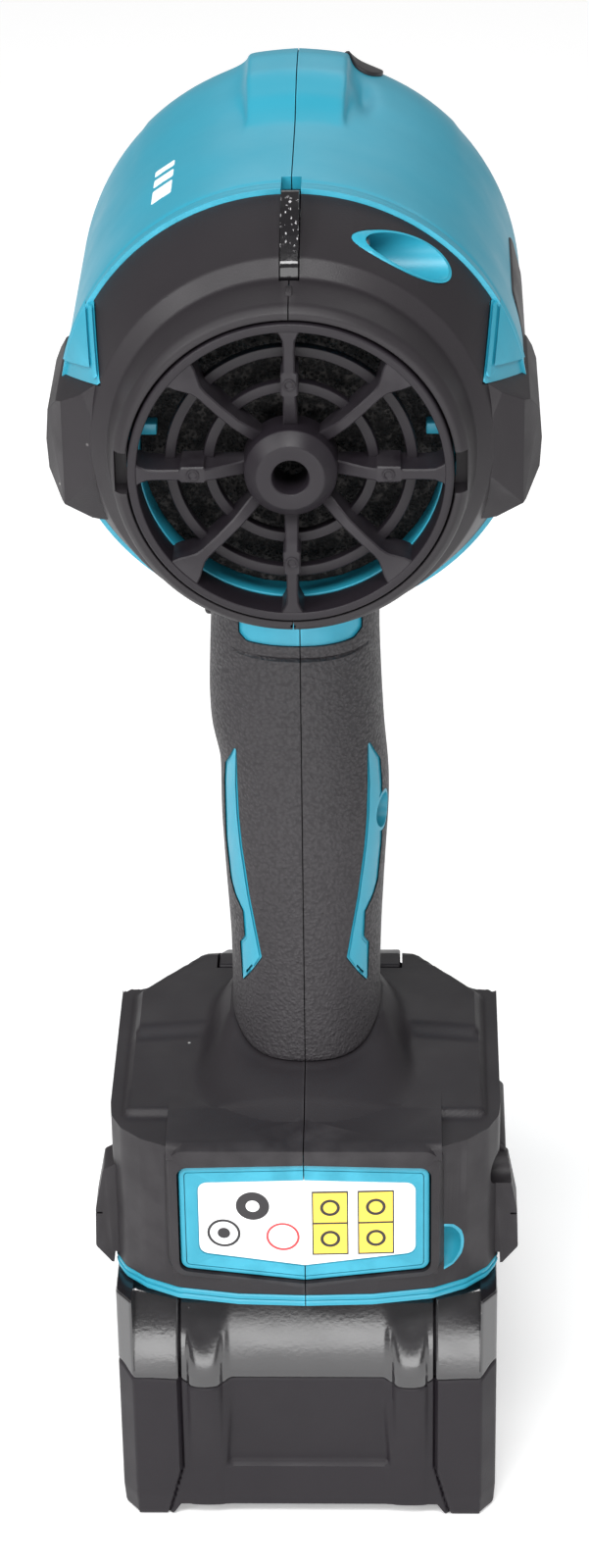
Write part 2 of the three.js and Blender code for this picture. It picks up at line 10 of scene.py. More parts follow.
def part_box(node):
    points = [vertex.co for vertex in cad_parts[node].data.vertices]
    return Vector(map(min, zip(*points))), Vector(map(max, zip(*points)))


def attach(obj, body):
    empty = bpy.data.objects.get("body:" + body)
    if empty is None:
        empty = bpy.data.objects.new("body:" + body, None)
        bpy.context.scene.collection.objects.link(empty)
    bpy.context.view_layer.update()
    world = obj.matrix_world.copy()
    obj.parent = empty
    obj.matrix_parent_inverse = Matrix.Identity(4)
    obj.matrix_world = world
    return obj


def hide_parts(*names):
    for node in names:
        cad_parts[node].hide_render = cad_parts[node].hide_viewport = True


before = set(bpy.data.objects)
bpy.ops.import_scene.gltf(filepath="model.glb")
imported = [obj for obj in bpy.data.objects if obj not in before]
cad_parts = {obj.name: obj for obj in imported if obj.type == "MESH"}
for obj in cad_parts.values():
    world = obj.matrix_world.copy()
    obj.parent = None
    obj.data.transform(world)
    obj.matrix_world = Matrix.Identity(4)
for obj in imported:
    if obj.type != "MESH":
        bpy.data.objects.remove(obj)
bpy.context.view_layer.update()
MM = 0.001


def link(obj):
    bpy.context.scene.collection.objects.link(obj)
    return obj


def box_mm(node):
    low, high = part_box(node)
    return np.array(low) / MM, np.array(high) / MM


# ---------- places taken from the frame ----------
cover_low, cover_high = box_mm("inlet_cover")
AXIS_Z = (cover_low[2] + cover_high[2]) / 2     # height of the blower's axis
SPLIT = 0.12                      # half of the gap between the clamshell halves
SIDES = ((-1, "left"), (1, "right"))


# ---------- camera and studio ----------
def camera():
    """Stands behind and above the tool, turned a little to its right, with a slight roll."""
    elevation, azimuth, roll = math.radians(29.8), math.radians(1.802), math.radians(-0.96)
    target, distance = Vector((-2.11, -12.0, 167.73)) * MM, 0.9
    back = Vector((math.sin(azimuth) * math.cos(elevation), -math.cos(azimuth) * math.cos(elevation),
            math.sin(elevation)))
    right = Vector((math.cos(azimuth), math.sin(azimuth), 0))
    up = back.cross(right)
    x_axis = right * math.cos(roll) + up * math.sin(roll)
    y_axis = up * math.cos(roll) - right * math.sin(roll)
    data = bpy.data.cameras.new("camera")
    data.sensor_fit = "VERTICAL"
    data.sensor_height = 36
    data.lens = 93.43
    data.clip_start, data.clip_end = 0.05, 30
    obj = bpy.data.objects.new("camera", data)
    turn = Matrix((x_axis, y_axis, back)).transposed().to_4x4()
    obj.matrix_world = Matrix.Translation(target + back * distance) @ turn
    bpy.context.scene.camera = link(obj)


def softbox(name, place, aim, width, height, power):
    data = bpy.data.lights.new(name, "AREA")
    data.shape = "RECTANGLE"
    data.size, data.size_y, data.energy = width, height, power
    obj = bpy.data.objects.new(name, data)
    obj.location = place
    obj.rotation_euler = (Vector(aim) - Vector(place)).to_track_quat("-Z", "Y").to_euler()
    link(obj)


def studio():
    bpy.context.scene.view_settings.view_transform = "Standard"
    world = bpy.data.worlds.new("studio")
    world.use_nodes = True
    world.node_tree.nodes["Background"].inputs["Color"].default_value = (1, 1, 1, 1)
    world.node_tree.nodes["Background"].inputs["Strength"].default_value = 0.28
    bpy.context.scene.world = world
    middle = (0, 0, 0.17)
    softbox("key", (-1.0, -0.75, 1.1), middle, 0.8, 0.8, 16)
    softbox("fill", (1.3, -0.7, 0.7), middle, 0.6, 1.0, 2)
    softbox("low", (0.0, -1.5, 0.27), (0, 0, 0.05), 1.6, 0.46, 10)
    softbox("top", (0.0, -0.6, 1.1), (0, -0.03, 0.1), 0.5, 0.35, 9)
    softbox("rim", (0.2, 1.3, 1.1), middle, 1.6, 0.6, 4)
    bm = bmesh.new()
    bmesh.ops.create_grid(bm, x_segments=4, y_segments=4, size=4.0)
    mesh = bpy.data.meshes.new("floor")
    bm.to_mesh(mesh)
    bm.free()
    floor = link(bpy.data.objects.new("floor", mesh))
    paint = bpy.data.materials.new("floor_paint")
    paint.use_nodes = True
    shader = paint.node_tree.nodes["Principled BSDF"]
    shader.inputs["Base Color"].default_value = (0.93, 0.93, 0.93, 1)
    shader.inputs["Roughness"].default_value = 0.9
    shader.inputs["Emission Color"].default_value = (1, 1, 1, 1)
    shader.inputs["Emission Strength"].default_value = 0.3
    mesh.materials.append(paint)


# ---------- materials ----------
class Surface:
    """A Principled material whose colour, roughness and bump come from textures in object space."""

    def __init__(self, name, rough=0.5, **settings):
        self.material = bpy.data.materials.new(name)
        self.material.use_nodes = True
        self.tree = self.material.node_tree
        self.shader = self.tree.nodes["Principled BSDF"]
        self.shader.inputs["Roughness"].default_value = rough
        for socket, value in settings.items():
            self.shader.inputs[socket.replace("_", " ")].default_value = value
        self.space = self.node("ShaderNodeTexCoord").outputs["Object"]

    def node(self, kind, links=(), **values):
        made = self.tree.nodes.new(kind)
        for key, value in values.items():
            setattr(made, key, value)
        for socket, source in links:
            if isinstance(source, bpy.types.NodeSocket):
                self.tree.links.new(source, made.inputs[socket])
            else:
                made.inputs[socket].default_value = source
        return made

    def noise(self, scale, detail=3.0, vector=None):
        links = [("Vector", vector or self.space), ("Scale", scale), ("Detail", detail)]
        return self.node("ShaderNodeTexNoise", links).outputs["Fac"]

    def cells(self, scale):
        return self.node("ShaderNodeTexVoronoi", [("Vector", self.space), ("Scale", scale)])

    def remap(self, source, low, high, to_low=0.0, to_high=1.0):
        links = [("Value", source), ("From Min", low), ("From Max", high), ("To Min", to_low),
                ("To Max", to_high)]
        return self.node("ShaderNodeMapRange", links).outputs["Result"]

    def maths(self, operation, a, b):
        return self.node("ShaderNodeMath", [(0, a), (1, b)], operation=operation).outputs[0]

    def mix(self, factor, a, b):
        made = self.node("ShaderNodeMix", data_type="RGBA")
        for socket, source in zip((made.inputs[0], made.inputs[6], made.inputs[7]), (factor, a, b)):
            if isinstance(source, bpy.types.NodeSocket):
                self.tree.links.new(source, socket)
            else:
                socket.default_value = source
        return made.outputs[2]

    def set(self, socket, source):
        self.tree.links.new(source, self.shader.inputs[socket])

    def bump(self, height, depth, below=None):
        """Height, in 0 to 1, stands `depth` millimetres proud."""
        links = [("Height", height), ("Distance", depth * MM), ("Strength", 1.0)]
        if below:
            links.append(("Normal", below))
        return self.node("ShaderNodeBump", links).outputs["Normal"]


def srgb(red, green, blue):
    channels = [value / 255 for value in (red, green, blue)]
    return tuple(c / 12.92 if c < 0.04 else ((c + 0.055) / 1.055) ** 2.4 for c in channels) + (1.0,)


def shade(color, factor):
    return tuple(c * factor for c in color[:3]) + (1.0,)


def moulded(name, color, rough, grain=0.35, grain_depth=0.02, patch=0.12, wear=0.25, dust=0.0, IOR=1.36):
    """Injection-moulded plastic: fine grain, cloudy patches, paler edges and sparse dust specks."""
    s = Surface(name, rough, IOR=IOR)
    cloud = s.noise(28, 4)
    fine = s.noise(1.0 / (grain * MM), 2)
    tone = s.mix(s.remap(cloud, 0.3, 0.7), shade(color, 1 - patch), shade(color, 1 + patch))
    pale = tuple(min(1.0, c * 1.5 + 0.03) for c in color[:3]) + (1.0,)
    edge = s.remap(s.node("ShaderNodeNewGeometry").outputs["Pointiness"], 0.53, 0.62, 0.0, wear)
    scuffed = s.maths("MULTIPLY", edge, s.remap(s.noise(160, 3), 0.35, 0.6))
    tone = s.mix(scuffed, tone, pale)
    if dust:
        cells = s.cells(150.0)
        near = s.remap(cells.outputs["Distance"], 0.035, 0.06, 1.0, 0.0)
        some = s.remap(s.node("ShaderNodeSeparateColor", [("Color", cells.outputs["Color"])]).outputs[0],
                0.86, 0.88)
        specks = s.maths("MULTIPLY", s.maths("MULTIPLY", near, some), dust)
        tone = s.mix(specks, tone, (0.42, 0.41, 0.40, 1.0))
    s.set("Base Color", tone)
    s.set("Roughness", s.remap(s.noise(70, 4), 0.3, 0.7, max(0.03, rough - 0.06), rough + 0.06))
    s.set("Normal", s.bump(fine, grain_depth))
    return s.material


def soft_grip():
    """Over-moulded rubber with a leathery pebble texture, and a painted highlight that makes the pebble tops
    lighter.
    """
    s = Surface("soft_grip_rubber", 0.62)
    noise = s.node("ShaderNodeTexNoise", [("Vector", s.space), ("Scale", 600.0), ("Detail", 2.0)])
    warp = [(0, noise.outputs["Color"]), (1, (0.0009, 0.0009, 0.0009))]
    moved = s.node("ShaderNodeVectorMath", warp, operation="MULTIPLY").outputs[0]
    bent = s.node("ShaderNodeVectorMath", [(0, s.space), (1, moved)], operation="ADD").outputs[0]
    cells = s.node("ShaderNodeTexVoronoi", [("Vector", bent), ("Scale", 1450.0)], feature="SMOOTH_F1")
    pebble = s.remap(cells.outputs["Distance"], 0.1, 0.65, 1.0, 0.0)
    height = s.maths("ADD", s.maths("MULTIPLY", pebble, 0.8), s.maths("MULTIPLY", s.noise(2600, 2), 0.3))
    tone = s.mix(s.remap(s.noise(35, 4), 0.3, 0.7), srgb(30, 27, 30), srgb(38, 35, 38))
    # painted highlight: the top of each pebble is painted lighter
    tone = s.mix(s.maths("MULTIPLY", pebble, 0.35), tone, srgb(52, 48, 52))
    s.set("Base Color", tone)
    s.set("Roughness", s.remap(pebble, 0.0, 1.0, 0.7, 0.42))
    s.set("Normal", s.bump(height, 0.17))
    return s.material


def hook_finish():
    """Glossy black plastic with pale scrapes along its outer edge, painted only in the band where its
    highlight falls, so they are partly a painted highlight.
    """
    s = Surface("hook_gloss", 0.14)
    stretch = s.node("ShaderNodeMapping", [("Vector", s.space), ("Scale", (1.0, 0.55, 0.55))]).outputs[0]
    scratch = s.remap(s.noise(1500, 5, stretch), 0.6, 0.68)
    # painted highlight: the pale scrapes are kept to the band of the hook where the light glints
    middle = s.node("ShaderNodeSeparateXYZ", [("Vector", s.space)]).outputs[1]
    highlight_zone = s.maths("MULTIPLY", s.remap(middle, -0.0585, -0.055), s.remap(middle, -0.049, -0.0455, 1.0, 0.0))
    scrapes_and_highlight = s.maths("MULTIPLY", scratch, highlight_zone)
    s.set("Base Color", s.mix(scrapes_and_highlight, srgb(22, 21, 23), srgb(205, 203, 205)))
    s.set("Roughness", s.remap(scrapes_and_highlight, 0.0, 1.0, 0.12, 0.5))
    s.set("Normal", s.bump(s.noise(220, 4), 0.12))
    return s.material


def foam():
    s = Surface("filter_foam", 0.95)
    cells = s.cells(1300.0)
    pore = s.remap(cells.outputs["Distance"], 0.2, 0.6)
    # painted shade: the middle of each pore is painted dark
    s.set("Base Color", s.mix(s.maths("MULTIPLY", pore, s.remap(s.noise(500, 4), 0.45, 0.7)),
            srgb(17, 16, 17), srgb(66, 63, 62)))
    s.set("Normal", s.bump(pore, 0.5))
    return s.material


def brushed(name, color, rough, along=(1.0, 8.0, 8.0)):
    """Metal with fine drawn lines and slightly uneven tone."""
    s = Surface(name, rough, Metallic=1.0)
    stretch = s.node("ShaderNodeMapping", [("Vector", s.space), ("Scale", along)]).outputs[0]
    lines = s.noise(900, 4, stretch)
    s.set("Base Color", s.mix(s.remap(s.noise(120, 4), 0.3, 0.7), shade(color, 0.8), color))
    s.set("Roughness", s.remap(lines, 0.3, 0.7, rough * 0.7, rough * 1.3))
    s.set("Normal", s.bump(lines, 0.012))
    return s.material


def winding():
    s = Surface("copper_winding_wire", 0.3, Metallic=0.9)
    wave = s.node("ShaderNodeTexWave", [("Vector", s.space), ("Scale", 420.0), ("Distortion", 1.5)])
    # painted shade: the grooves between the wire turns are painted darker copper
    s.set("Base Color", s.mix(wave.outputs["Fac"], srgb(96, 48, 22), srgb(196, 116, 62)))
    s.set("Normal", s.bump(wave.outputs["Fac"], 0.35))
    return s.material


def board():
    s = Surface("board_varnish", 0.35)
    traces = s.node("ShaderNodeTexBrick", [("Vector", s.space), ("Scale", 190.0), ("Mortar Size", 0.04)])
    s.set("Base Color", s.mix(traces.outputs["Fac"], srgb(22, 74, 48), srgb(60, 122, 84)))
    s.set("Normal", s.bump(traces.outputs["Fac"], 0.04))
    return s.material


camera()
studio()

INK = {"grain": 0.2, "grain_depth": 0.004, "wear": 0.0}
FINISH = {
    "teal": moulded("teal_plastic", srgb(36, 142, 166), 0.42, 0.3, 0.012, 0.05, 0.5, IOR=1.5),
    "black": moulded("black_plastic", srgb(35, 32, 35), 0.5, 0.35, 0.03, 0.08, 0.35, 0.8),
    "cover": moulded("cover_plastic", srgb(27, 23, 28), 0.46, 0.3, 0.02, 0.08, 0.4),
    "matt": moulded("battery_case_plastic", srgb(27, 23, 28), 0.5, 0.45, 0.03, 0.06, 0.2, 0.5),
    "gloss": moulded("battery_gloss_plastic", srgb(24, 22, 25), 0.2, 0.9, 0.03, 0.05, 0.2, 0.3, 1.85),
    "grey": moulded("grey_plastic", srgb(86, 84, 88), 0.45, patch=0.05),
    "rubber": soft_grip(),
    "hook": hook_finish(),
    "foam": foam(),
    "steel": brushed("steel_bright", srgb(186, 188, 192), 0.3),
    "alloy": brushed("alloy_cast", srgb(170, 174, 178), 0.42),
    "contact": brushed("contact_metal", srgb(214, 176, 96), 0.3),
    "copper": winding(),
    "board": board(),
    "wrap": moulded("cell_sleeve", srgb(70, 128, 176), 0.35, patch=0.06),
    "lead_black": moulded("lead_cover_black", srgb(34, 34, 36), 0.45),
    "lead_red": moulded("lead_cover_red", srgb(170, 40, 36), 0.45),
    "white": moulded("label_film", srgb(246, 246, 246), 0.4, patch=0.01, **INK),
    "lamp": moulded("lamp_lens", srgb(214, 224, 216), 0.2, patch=0.03, **INK),
    "print": moulded("print_white", srgb(228, 236, 238), 0.5, patch=0.03, **INK),
    "ink": moulded("ink_dark", srgb(52, 50, 52), 0.5, patch=0.05, **INK),
    "red": moulded("ink_red", srgb(226, 70, 74), 0.5, patch=0.05, **INK),
    "yellow": moulded("ink_yellow", srgb(252, 214, 84), 0.5, patch=0.03, **INK),
}
CAD_LOOKS = {
    "grey": ["fan_case", "motor_cap", "fan_impeller", "switch_body"],
    "copper": ["motor_stator"],
    "steel": ["motor_rotor", "motor_shaft", "bearing_rear", "bearing_front", "loop_pin", "trigger_spring",
              "release_spring"],
    "alloy": ["controller"],
    "lead_black": ["lead_left"],
    "lead_red": ["lead_right"],
    "board": ["battery_board"],
    "contact": ["battery_terminals"],
    "wrap": [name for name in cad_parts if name.startswith("cell_")],
}


def dress_nodes():
    """Materials of the CAD nodes; a node without a look of its own is black plastic."""
    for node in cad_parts.values():
        node.data.materials.clear()
        node.data.materials.append(FINISH["black"])
    for look, names in CAD_LOOKS.items():
        for name in names:
            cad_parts[name].data.materials[0] = FINISH[look]


# ---------- mesh kit: outlines and solids in millimetres ----------
def rounded(points, radius, steps=4):
    """The polygon with its corners turned into arcs; radius is one number, or one per corner."""
    corners = np.asarray(points, float)
    made = []
    for i, r in enumerate(np.broadcast_to(radius, len(corners))):
        p, before, after = corners[i], corners[i - 1], corners[(i + 1) % len(corners)]
        u, v = before - p, after - p
        length_u, length_v = np.linalg.norm(u), np.linalg.norm(v)
        u, v = u / length_u, v / length_v
        half = math.acos(float(np.clip(u @ v, -1, 1))) / 2
        if r <= 0 or half > math.pi / 2 - 0.02:
            made.append(p)
            continue
        reach = min(r / math.tan(half), 0.49 * length_u, 0.49 * length_v)
        centre = p + (u + v) / np.linalg.norm(u + v) * (reach / math.cos(half))
        start, end, turn = p + u * reach - centre, p + v * reach - centre, math.pi - 2 * half
        for k in range(steps + 1):
            t = k / steps
            arc = math.sin((1 - t) * turn) * start + math.sin(t * turn) * end
            made.append(centre + arc / math.sin(turn))
    return np.array(made)


def rect(u0, u1, v0, v1, radius=0.0, steps=4):
    corners = [(u0, v0), (u1, v0), (u1, v1), (u0, v1)]
    return rounded(corners, radius, steps) if radius else np.array(corners, float)


def mirrored(points):
    return [(-u, v) for u, v in points][::-1]


def solid(name, verts, faces):
    mesh = bpy.data.meshes.new(name)
    mesh.from_pydata((np.asarray(verts, float).reshape(-1, 3) * MM).tolist(), [], faces)
    bm = bmesh.new()
    bm.from_mesh(mesh)
    bmesh.ops.remove_doubles(bm, verts=bm.verts, dist=0.001 * MM)
    bmesh.ops.recalc_face_normals(bm, faces=bm.faces)
    bm.to_mesh(mesh)
    bm.free()
    return link(bpy.data.objects.new(name, mesh))


def loft(name, rings, wrap=False):
    """Solid through closed rings of equal length; capped at both ends unless it wraps round."""
    rings = np.asarray(rings, float)
    m, n = rings.shape[:2]
    grid = np.arange(m * n).reshape(m, n)
    ahead = np.roll(grid, -1, axis=0)
    quads = np.stack([grid, np.roll(grid, -1, axis=1), np.roll(ahead, -1, axis=1), ahead], axis=-1)
    faces = (quads if wrap else quads[:-1]).reshape(-1, 4).tolist()
    if not wrap:
        faces += [tuple(range(n)), tuple(range((m - 1) * n, m * n))]
    return solid(name, rings, faces)


def turned(level, u, v, axis):
    """A point `level` along an axis, with u and v across it: (y, z) for X, (x, z) for Y, (x, y) for Z."""
    return {"X": (level, u, v), "Y": (u, level, v), "Z": (u, v, level)}[axis]


def prism(name, outline, low, high, axis="Y"):
    """Outline pulled from low to high along an axis."""
    return loft(name, [[turned(level, u, v, axis) for u, v in outline] for level in (low, high)])


def revolve(name, profile, segments=96, centre=(0.0, None), axis="Y"):
    """Closed profile of (along, radius) turned about a line parallel to an axis."""
    across, height = centre[0], AXIS_Z if centre[1] is None else centre[1]
    rings = []
    for k in range(segments):
        c, s = math.cos(2 * math.pi * k / segments), math.sin(2 * math.pi * k / segments)
        rings.append([turned(a, across + r * c, height + r * s, axis) for a, r in profile])
    return loft(name, rings, wrap=True)


def rod(name, radius, low, high, centre, axis="X", segments=48):
    return revolve(name, [(low, 0), (low, radius), (high, radius), (high, 0)], segments, centre, axis)


def bake(obj):
    """Makes the object's modifiers part of its mesh."""
    graph = bpy.context.evaluated_depsgraph_get()
    mesh = bpy.data.meshes.new_from_object(obj.evaluated_get(graph), depsgraph=graph)
    obj.modifiers.clear()
    obj.data = mesh
    return obj


def combine(obj, others, operation="DIFFERENCE"):
    for other in others:
        step = obj.modifiers.new(operation, "BOOLEAN")
        step.operation, step.object, step.solver = operation, other, "EXACT"
    bake(obj)
    for other in others:
        bpy.data.objects.remove(other)
    return obj


def ease(obj, width, segments=3, angle=30):
    """Rounds the sharp edges."""
    step = obj.modifiers.new("ease", "BEVEL")
    step.width, step.segments, step.angle_limit = width * MM, segments, math.radians(angle)
    step.limit_method = "ANGLE"
    return bake(obj)


def place(obj, look, nodes=(), body="tool", slot=None, sharp=35):
    """Gives a finished piece its material, its body and the CAD nodes it stands for; `slot` is not used."""
    mesh = obj.data
    mesh.materials.clear()
    mesh.materials.append(FINISH[look])
    mesh.polygons.foreach_set("material_index", [0] * len(mesh.polygons))
    mesh.shade_smooth()
    mesh.set_sharp_from_angle(angle=math.radians(sharp))
    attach(obj, body)
    if nodes:
        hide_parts(*nodes)
    return obj


def halves(obj, look, node=None, **settings):
    """Splits a closed piece at the parting plane into a left and a right piece."""
    for side, word in SIDES:
        half = link(bpy.data.objects.new(f"{obj.name}_{word}", obj.data.copy()))
        bm = bmesh.new()
        bm.from_mesh(half.data)
        cut = bmesh.ops.bisect_plane(bm, geom=bm.verts[:] + bm.edges[:] + bm.faces[:], dist=1e-7,
                plane_co=(side * SPLIT * MM, 0, 0), plane_no=(-side, 0, 0), clear_outer=True)
        rim = [item for item in cut["geom_cut"] if isinstance(item, bmesh.types.BMEdge)]
        bmesh.ops.triangle_fill(bm, use_beauty=True, edges=rim)
        bmesh.ops.recalc_face_normals(bm, faces=bm.faces)
        bm.to_mesh(half.data)
        bm.free()
        place(half, look, [f"{node}_{word}"] if node else (), **settings)
    bpy.data.objects.remove(obj)


def blend_max(a, b, width):
    return (a + b + np.sqrt((a - b) ** 2 + width ** 2)) / 2


def blend_min(a, b, width):
    return (a + b - np.sqrt((a - b) ** 2 + width ** 2)) / 2


def ramp(value, start, end):
    t = np.clip((value - start) / (end - start), 0, 1)
    return t * t * (3 - 2 * t)


# ---------- blower body ----------
SHELL_REAR = -40.6
DRUM_LINE = np.array([(-42, 47.0), (-36, 47.2), (28, 47.2), (36, 46.1), (42, 44.3), (48, 41.4), (54, 37),
        (60, 31), (63, 26.6)])
SPINE_LINE = np.array([(-42, 30), (-6, 45.6), (-3, 47.4), (5, 50.0), (14, 50.6), (25, 50.2), (33, 47.8),
        (44, 38.4), (63, 10)])


def smooth_line(line, y, spread):
    """A polyline's value with its corners eased over `spread` on each side."""
    return np.mean([np.interp(y + d, line[:, 0], line[:, 1]) for d in np.linspace(-spread, spread, 9)],
            axis=0)


def drum_radius(theta, y):
    """Body radius at an angle from +X towards +Z, with the flat-topped spine along its crown."""
    base = smooth_line(DRUM_LINE, y, 4)
    c, s = np.abs(np.cos(theta)), np.maximum(np.sin(theta), 1e-3)
    crown = smooth_line(SPINE_LINE, y, 1.2)
    box = blend_min(10.3 / np.maximum(c, 1e-3), (crown - 0.09 * np.abs(crown / s * np.cos(theta))) / s, 2.2)
    width = 0.8 + 5.2 * ramp(y, 0, 16)
    lip = 0.35 * np.exp(-((y + 40.2) / 0.9) ** 2) - 0.22 * np.exp(-((y + 36.2) / 0.8) ** 2)
    scoop = 1.9 * np.exp(-((np.degrees(theta) - 72.5) / 2.6) ** 2 - ((y - 16) / 7.0) ** 2)
    return np.where(np.sin(theta) > 0.7, blend_max(base, box, width), base) + lip - scoop


def polar(theta, radius, y):
    level = np.broadcast_to(y, np.shape(radius))
    return np.stack([radius * np.cos(theta), level, AXIS_Z + radius * np.sin(theta)], axis=-1)


def drum():
    crown = np.radians(np.arange(66, 114.01, 0.5))
    rest = np.radians(np.arange(117, 426, 2.5))
    theta = np.concatenate([crown, rest])
    rows = []
    for y in np.concatenate([np.arange(SHELL_REAR, -33, 0.4), np.arange(-32, -8, 2.0),
            np.arange(-7, 20, 0.8), np.arange(21, 63.1, 1.5)]):
        rows.append(polar(theta, drum_radius(theta, y), y))
    for y in (63, 46, 25, 2, -36, SHELL_REAR):
        rows.append(polar(theta, np.full(theta.shape, smooth_line(DRUM_LINE, y, 4) - 2.6), y))
    body = loft("body_shell", rows, wrap=True)
    slot = prism("slot", rect(-2.0, 2.0, 304.5, 330), -60, -33.6)
    halves(combine(body, [slot]), "teal", "housing", sharp=40)


def drum_patch(name, outline, look, height, sink=0.4, steps=7):
    """A thin pad that follows the body: outline in (degrees, y), `height` proud, with a rounded rim."""
    outline = np.asarray(outline, float)
    middle = outline.mean(axis=0)
    levels = [(1.0, -sink), (1.0, height * 0.4), (0.985, height * 0.8), (0.955, height)]
    levels += [(0.955 * (1 - k / steps), height) for k in range(1, steps + 1)]
    rings = []
    for share, lift in levels:
        points = middle + (outline - middle) * max(share, 0.002)
        theta, y = np.radians(points[:, 0]), points[:, 1]
        rings.append(polar(theta, drum_radius(theta, y) + lift, y))
    return place(loft(name, rings), look, sharp=50)


def body_marks():
    round_pad = [(73.0 + 5.6 * math.cos(a), 38 + 8.5 * math.sin(a)) for a in np.linspace(0, 2 * math.pi,
            40)[:-1]]
    drum_patch("crown_pad", round_pad, "black", 0.8)
    drum_patch("side_plate", rounded([(4, -24), (20, -20), (20, 12), (4, 16)], 3), "black", 0.35)
    for k, (low, high) in enumerate([(-24, -17), (-15, -11), (-9, -6)]):
        bar = rounded([(121.5, low), (127.5, low), (127.5, high), (121.5, high)], 0.5)
        drum_patch(f"printed_bar_{k}", bar, "print", 0.05, sink=0.1, steps=3)


# ---------- shoulder ----------
SKIN = [(-71.3, 32.5), (-71.3, 33.8), (-69.6, 35.3), (-60.4, 36.7), (-57.7, 40.1), (-40.3, 46.6),
        (-40.3, 44.3), (-56.7, 37.5), (-60, 34.2), (-60, 32.5)]
SKIN_ROUND = [0.3, 1.4, 3.0, 1.6, 2.0, 0.5, 0.3, 0, 0, 0]
BUMPER_FACE = [(33, 285.2), (39, 283.9), (47.4, 278.6), (49.4, 275), (50, 268), (49.6, 262), (46.8, 257),
        (41, 252.5), (36, 251), (33, 262)]
BUMPER_PLAN = [(22, -57.5), (40, -57.5), (46.2, -53.5), (50.4, -46), (50.4, -27), (48.6, -20), (22, -20)]


def flip(points, side):
    """The outline on the right (side 1) or mirrored to the left (side -1), in the same turning sense."""
    return [(side * u, v) for u, v in points] if side > 0 else mirrored(points)


def bumper(side, word):
    face = prism("face", flip(BUMPER_FACE, side), -59, -18)
    plan = prism("plan", flip(BUMPER_PLAN, side), 228, 290, "Z")
    tilt = prism("tilt", [(-58.5, 266), (-58.0, 276), (-55.4, 286), (-18, 288), (-18, 243), (-42, 245),
            (-51, 252)], -60, 60, "X")
    block = combine(face, [plan, tilt], "INTERSECT")
    ease(block, 1.6, 4, 20)
    core = revolve("core", [(-70, 0), (-70, 36), (-60, 36), (-57, 39.4), (-40, 46), (-40, 47.0),
            (0, 47.0), (0, 0)])
    block = combine(block, [core])
    block.name = f"side_bumper_{word}"
    place(block, "black", sharp=30)


def shoulder():
    skin = revolve("shoulder_skin", rounded(SKIN, SKIN_ROUND, 5), 160)
    cutters = [prism("slot", rect(-2.0, 2.0, 304, 330), -61.2, -39)]
    cutters.append(prism("bottom", rect(-16, 16, 200, 236.5), -58, -39))
    for side in (-1, 1):
        gate = flip([(53, 274.8), (37.6, 284.6), (39.3, 295.5), (53, 295.5)], side)
        cutters.append(prism("gate", gate, -72, -39))
        notch = flip([(32.0, 267.4), (34.7, 267.4), (34.7, 276.2), (32.0, 276.2)], side)
        cutters.append(prism("notch", notch, -73, -66.5))
    cutters.append(rod("well", 5.3, 10.5, 50, (-48.4, 307.8)))
    cutters.append(rod("pin_hole", 0.55, -73, -69, (0.0, 237.9), "Y", 16))
    halves(combine(skin, cutters), "black", "shoulder", sharp=32)
    for side, word in SIDES:
        bumper(side, word)
    tab = ease(prism("shoulder_tab", rect(-0.65, 0.65, 304.0, 308.0), -66.6, -63.0), 0.2, 2)
    place(tab, "black")


def tongues():
    """Teal tongues that reach back over the shoulder on both sides, each with a raised inner rib."""
    line = [(-57.6, 36.8), (-57.6, 40.25), (-40.6, 46.75), (-39, 47.2), (-38, 47.0), (-38, 43)]
    raised = [(a, r + (0.55 if r > 40 else 0)) for a, r in line]
    for side, word in SIDES:
        flat = flip([(53, 275.0), (37.8, 284.8), (39.6, 295.3), (53, 295.3)], side)
        tongue = combine(revolve("tongue", line, 160), [prism("gate", flat, -56.9, -38.4)], "INTERSECT")
        rib = flip([(39.3, 285.2), (38.4, 285.8), (40.0, 295.0), (40.9, 295.0)], side)
        panel = flip([(53, 278.0), (40.2, 286.2), (41.6, 295.0), (53, 295.0)], side)
        for shape in (rib, panel):
            extra = combine(revolve("extra", raised, 160), [prism("gate", shape, -56.0, -38.9)],
                    "INTERSECT")
            tongue = combine(tongue, [extra], "UNION")
        tongue.name = f"shoulder_tongue_{word}"
        place(tongue, "teal", sharp=25)


def screw_well():
    """Teal-lined screw well on the right of the shoulder, with a lip that follows the black skin."""
    liner = revolve("shoulder_well", [(11.4, 1.6), (11.4, 5.2), (40, 5.2), (40, 4.7), (12.6, 4.7),
            (12.6, 1.6)], 64, (-48.4, 307.8), "X")
    trim = revolve("trim", [(-70, 0), (-70, 33.6), (-60.4, 36.9), (-57.7, 40.35), (-40.2, 46.9),
            (-40.2, 0)], 160)
    place(combine(liner, [trim], "INTERSECT"), "teal", sharp=40)


# ---------- inlet ----------
def spoke(angle, diagonal):
    if diagonal:
        along = [8.6, 12, 15, 20, 24.0, 25.6, 27.0, 28.6, 31.2]
        half = [1.25, 1.2, 1.1, 1.05, 1.05, 1.3, 2.0, 2.9, 3.9]
    else:
        along = [8.6, 12, 14.5, 16.7, 17.1, 21.5, 21.9, 26, 28.4, 29.8, 31.2]
        half = [1.5, 1.35, 1.3, 1.3, 1.75, 1.65, 1.15, 1.1, 1.25, 1.9, 3.0]
    rear = np.interp(along, [8.6, 14.5, 16.7, 31.2], [-67.8, -70.9, -71.75, -71.75])
    front, ease_by = -63.9, 0.3
    rings = []
    for u, w, y in zip(along, half, rear):
        section = [(-w, front), (-w, y + ease_by), (-w + ease_by, y), (w - ease_by, y), (w, y + ease_by),
                (w, front)]
        rings.append([(u * math.cos(angle) - t * math.sin(angle), v, AXIS_Z + u * math.sin(angle) +
                t * math.cos(angle)) for t, v in section])
    return loft("spoke", rings)


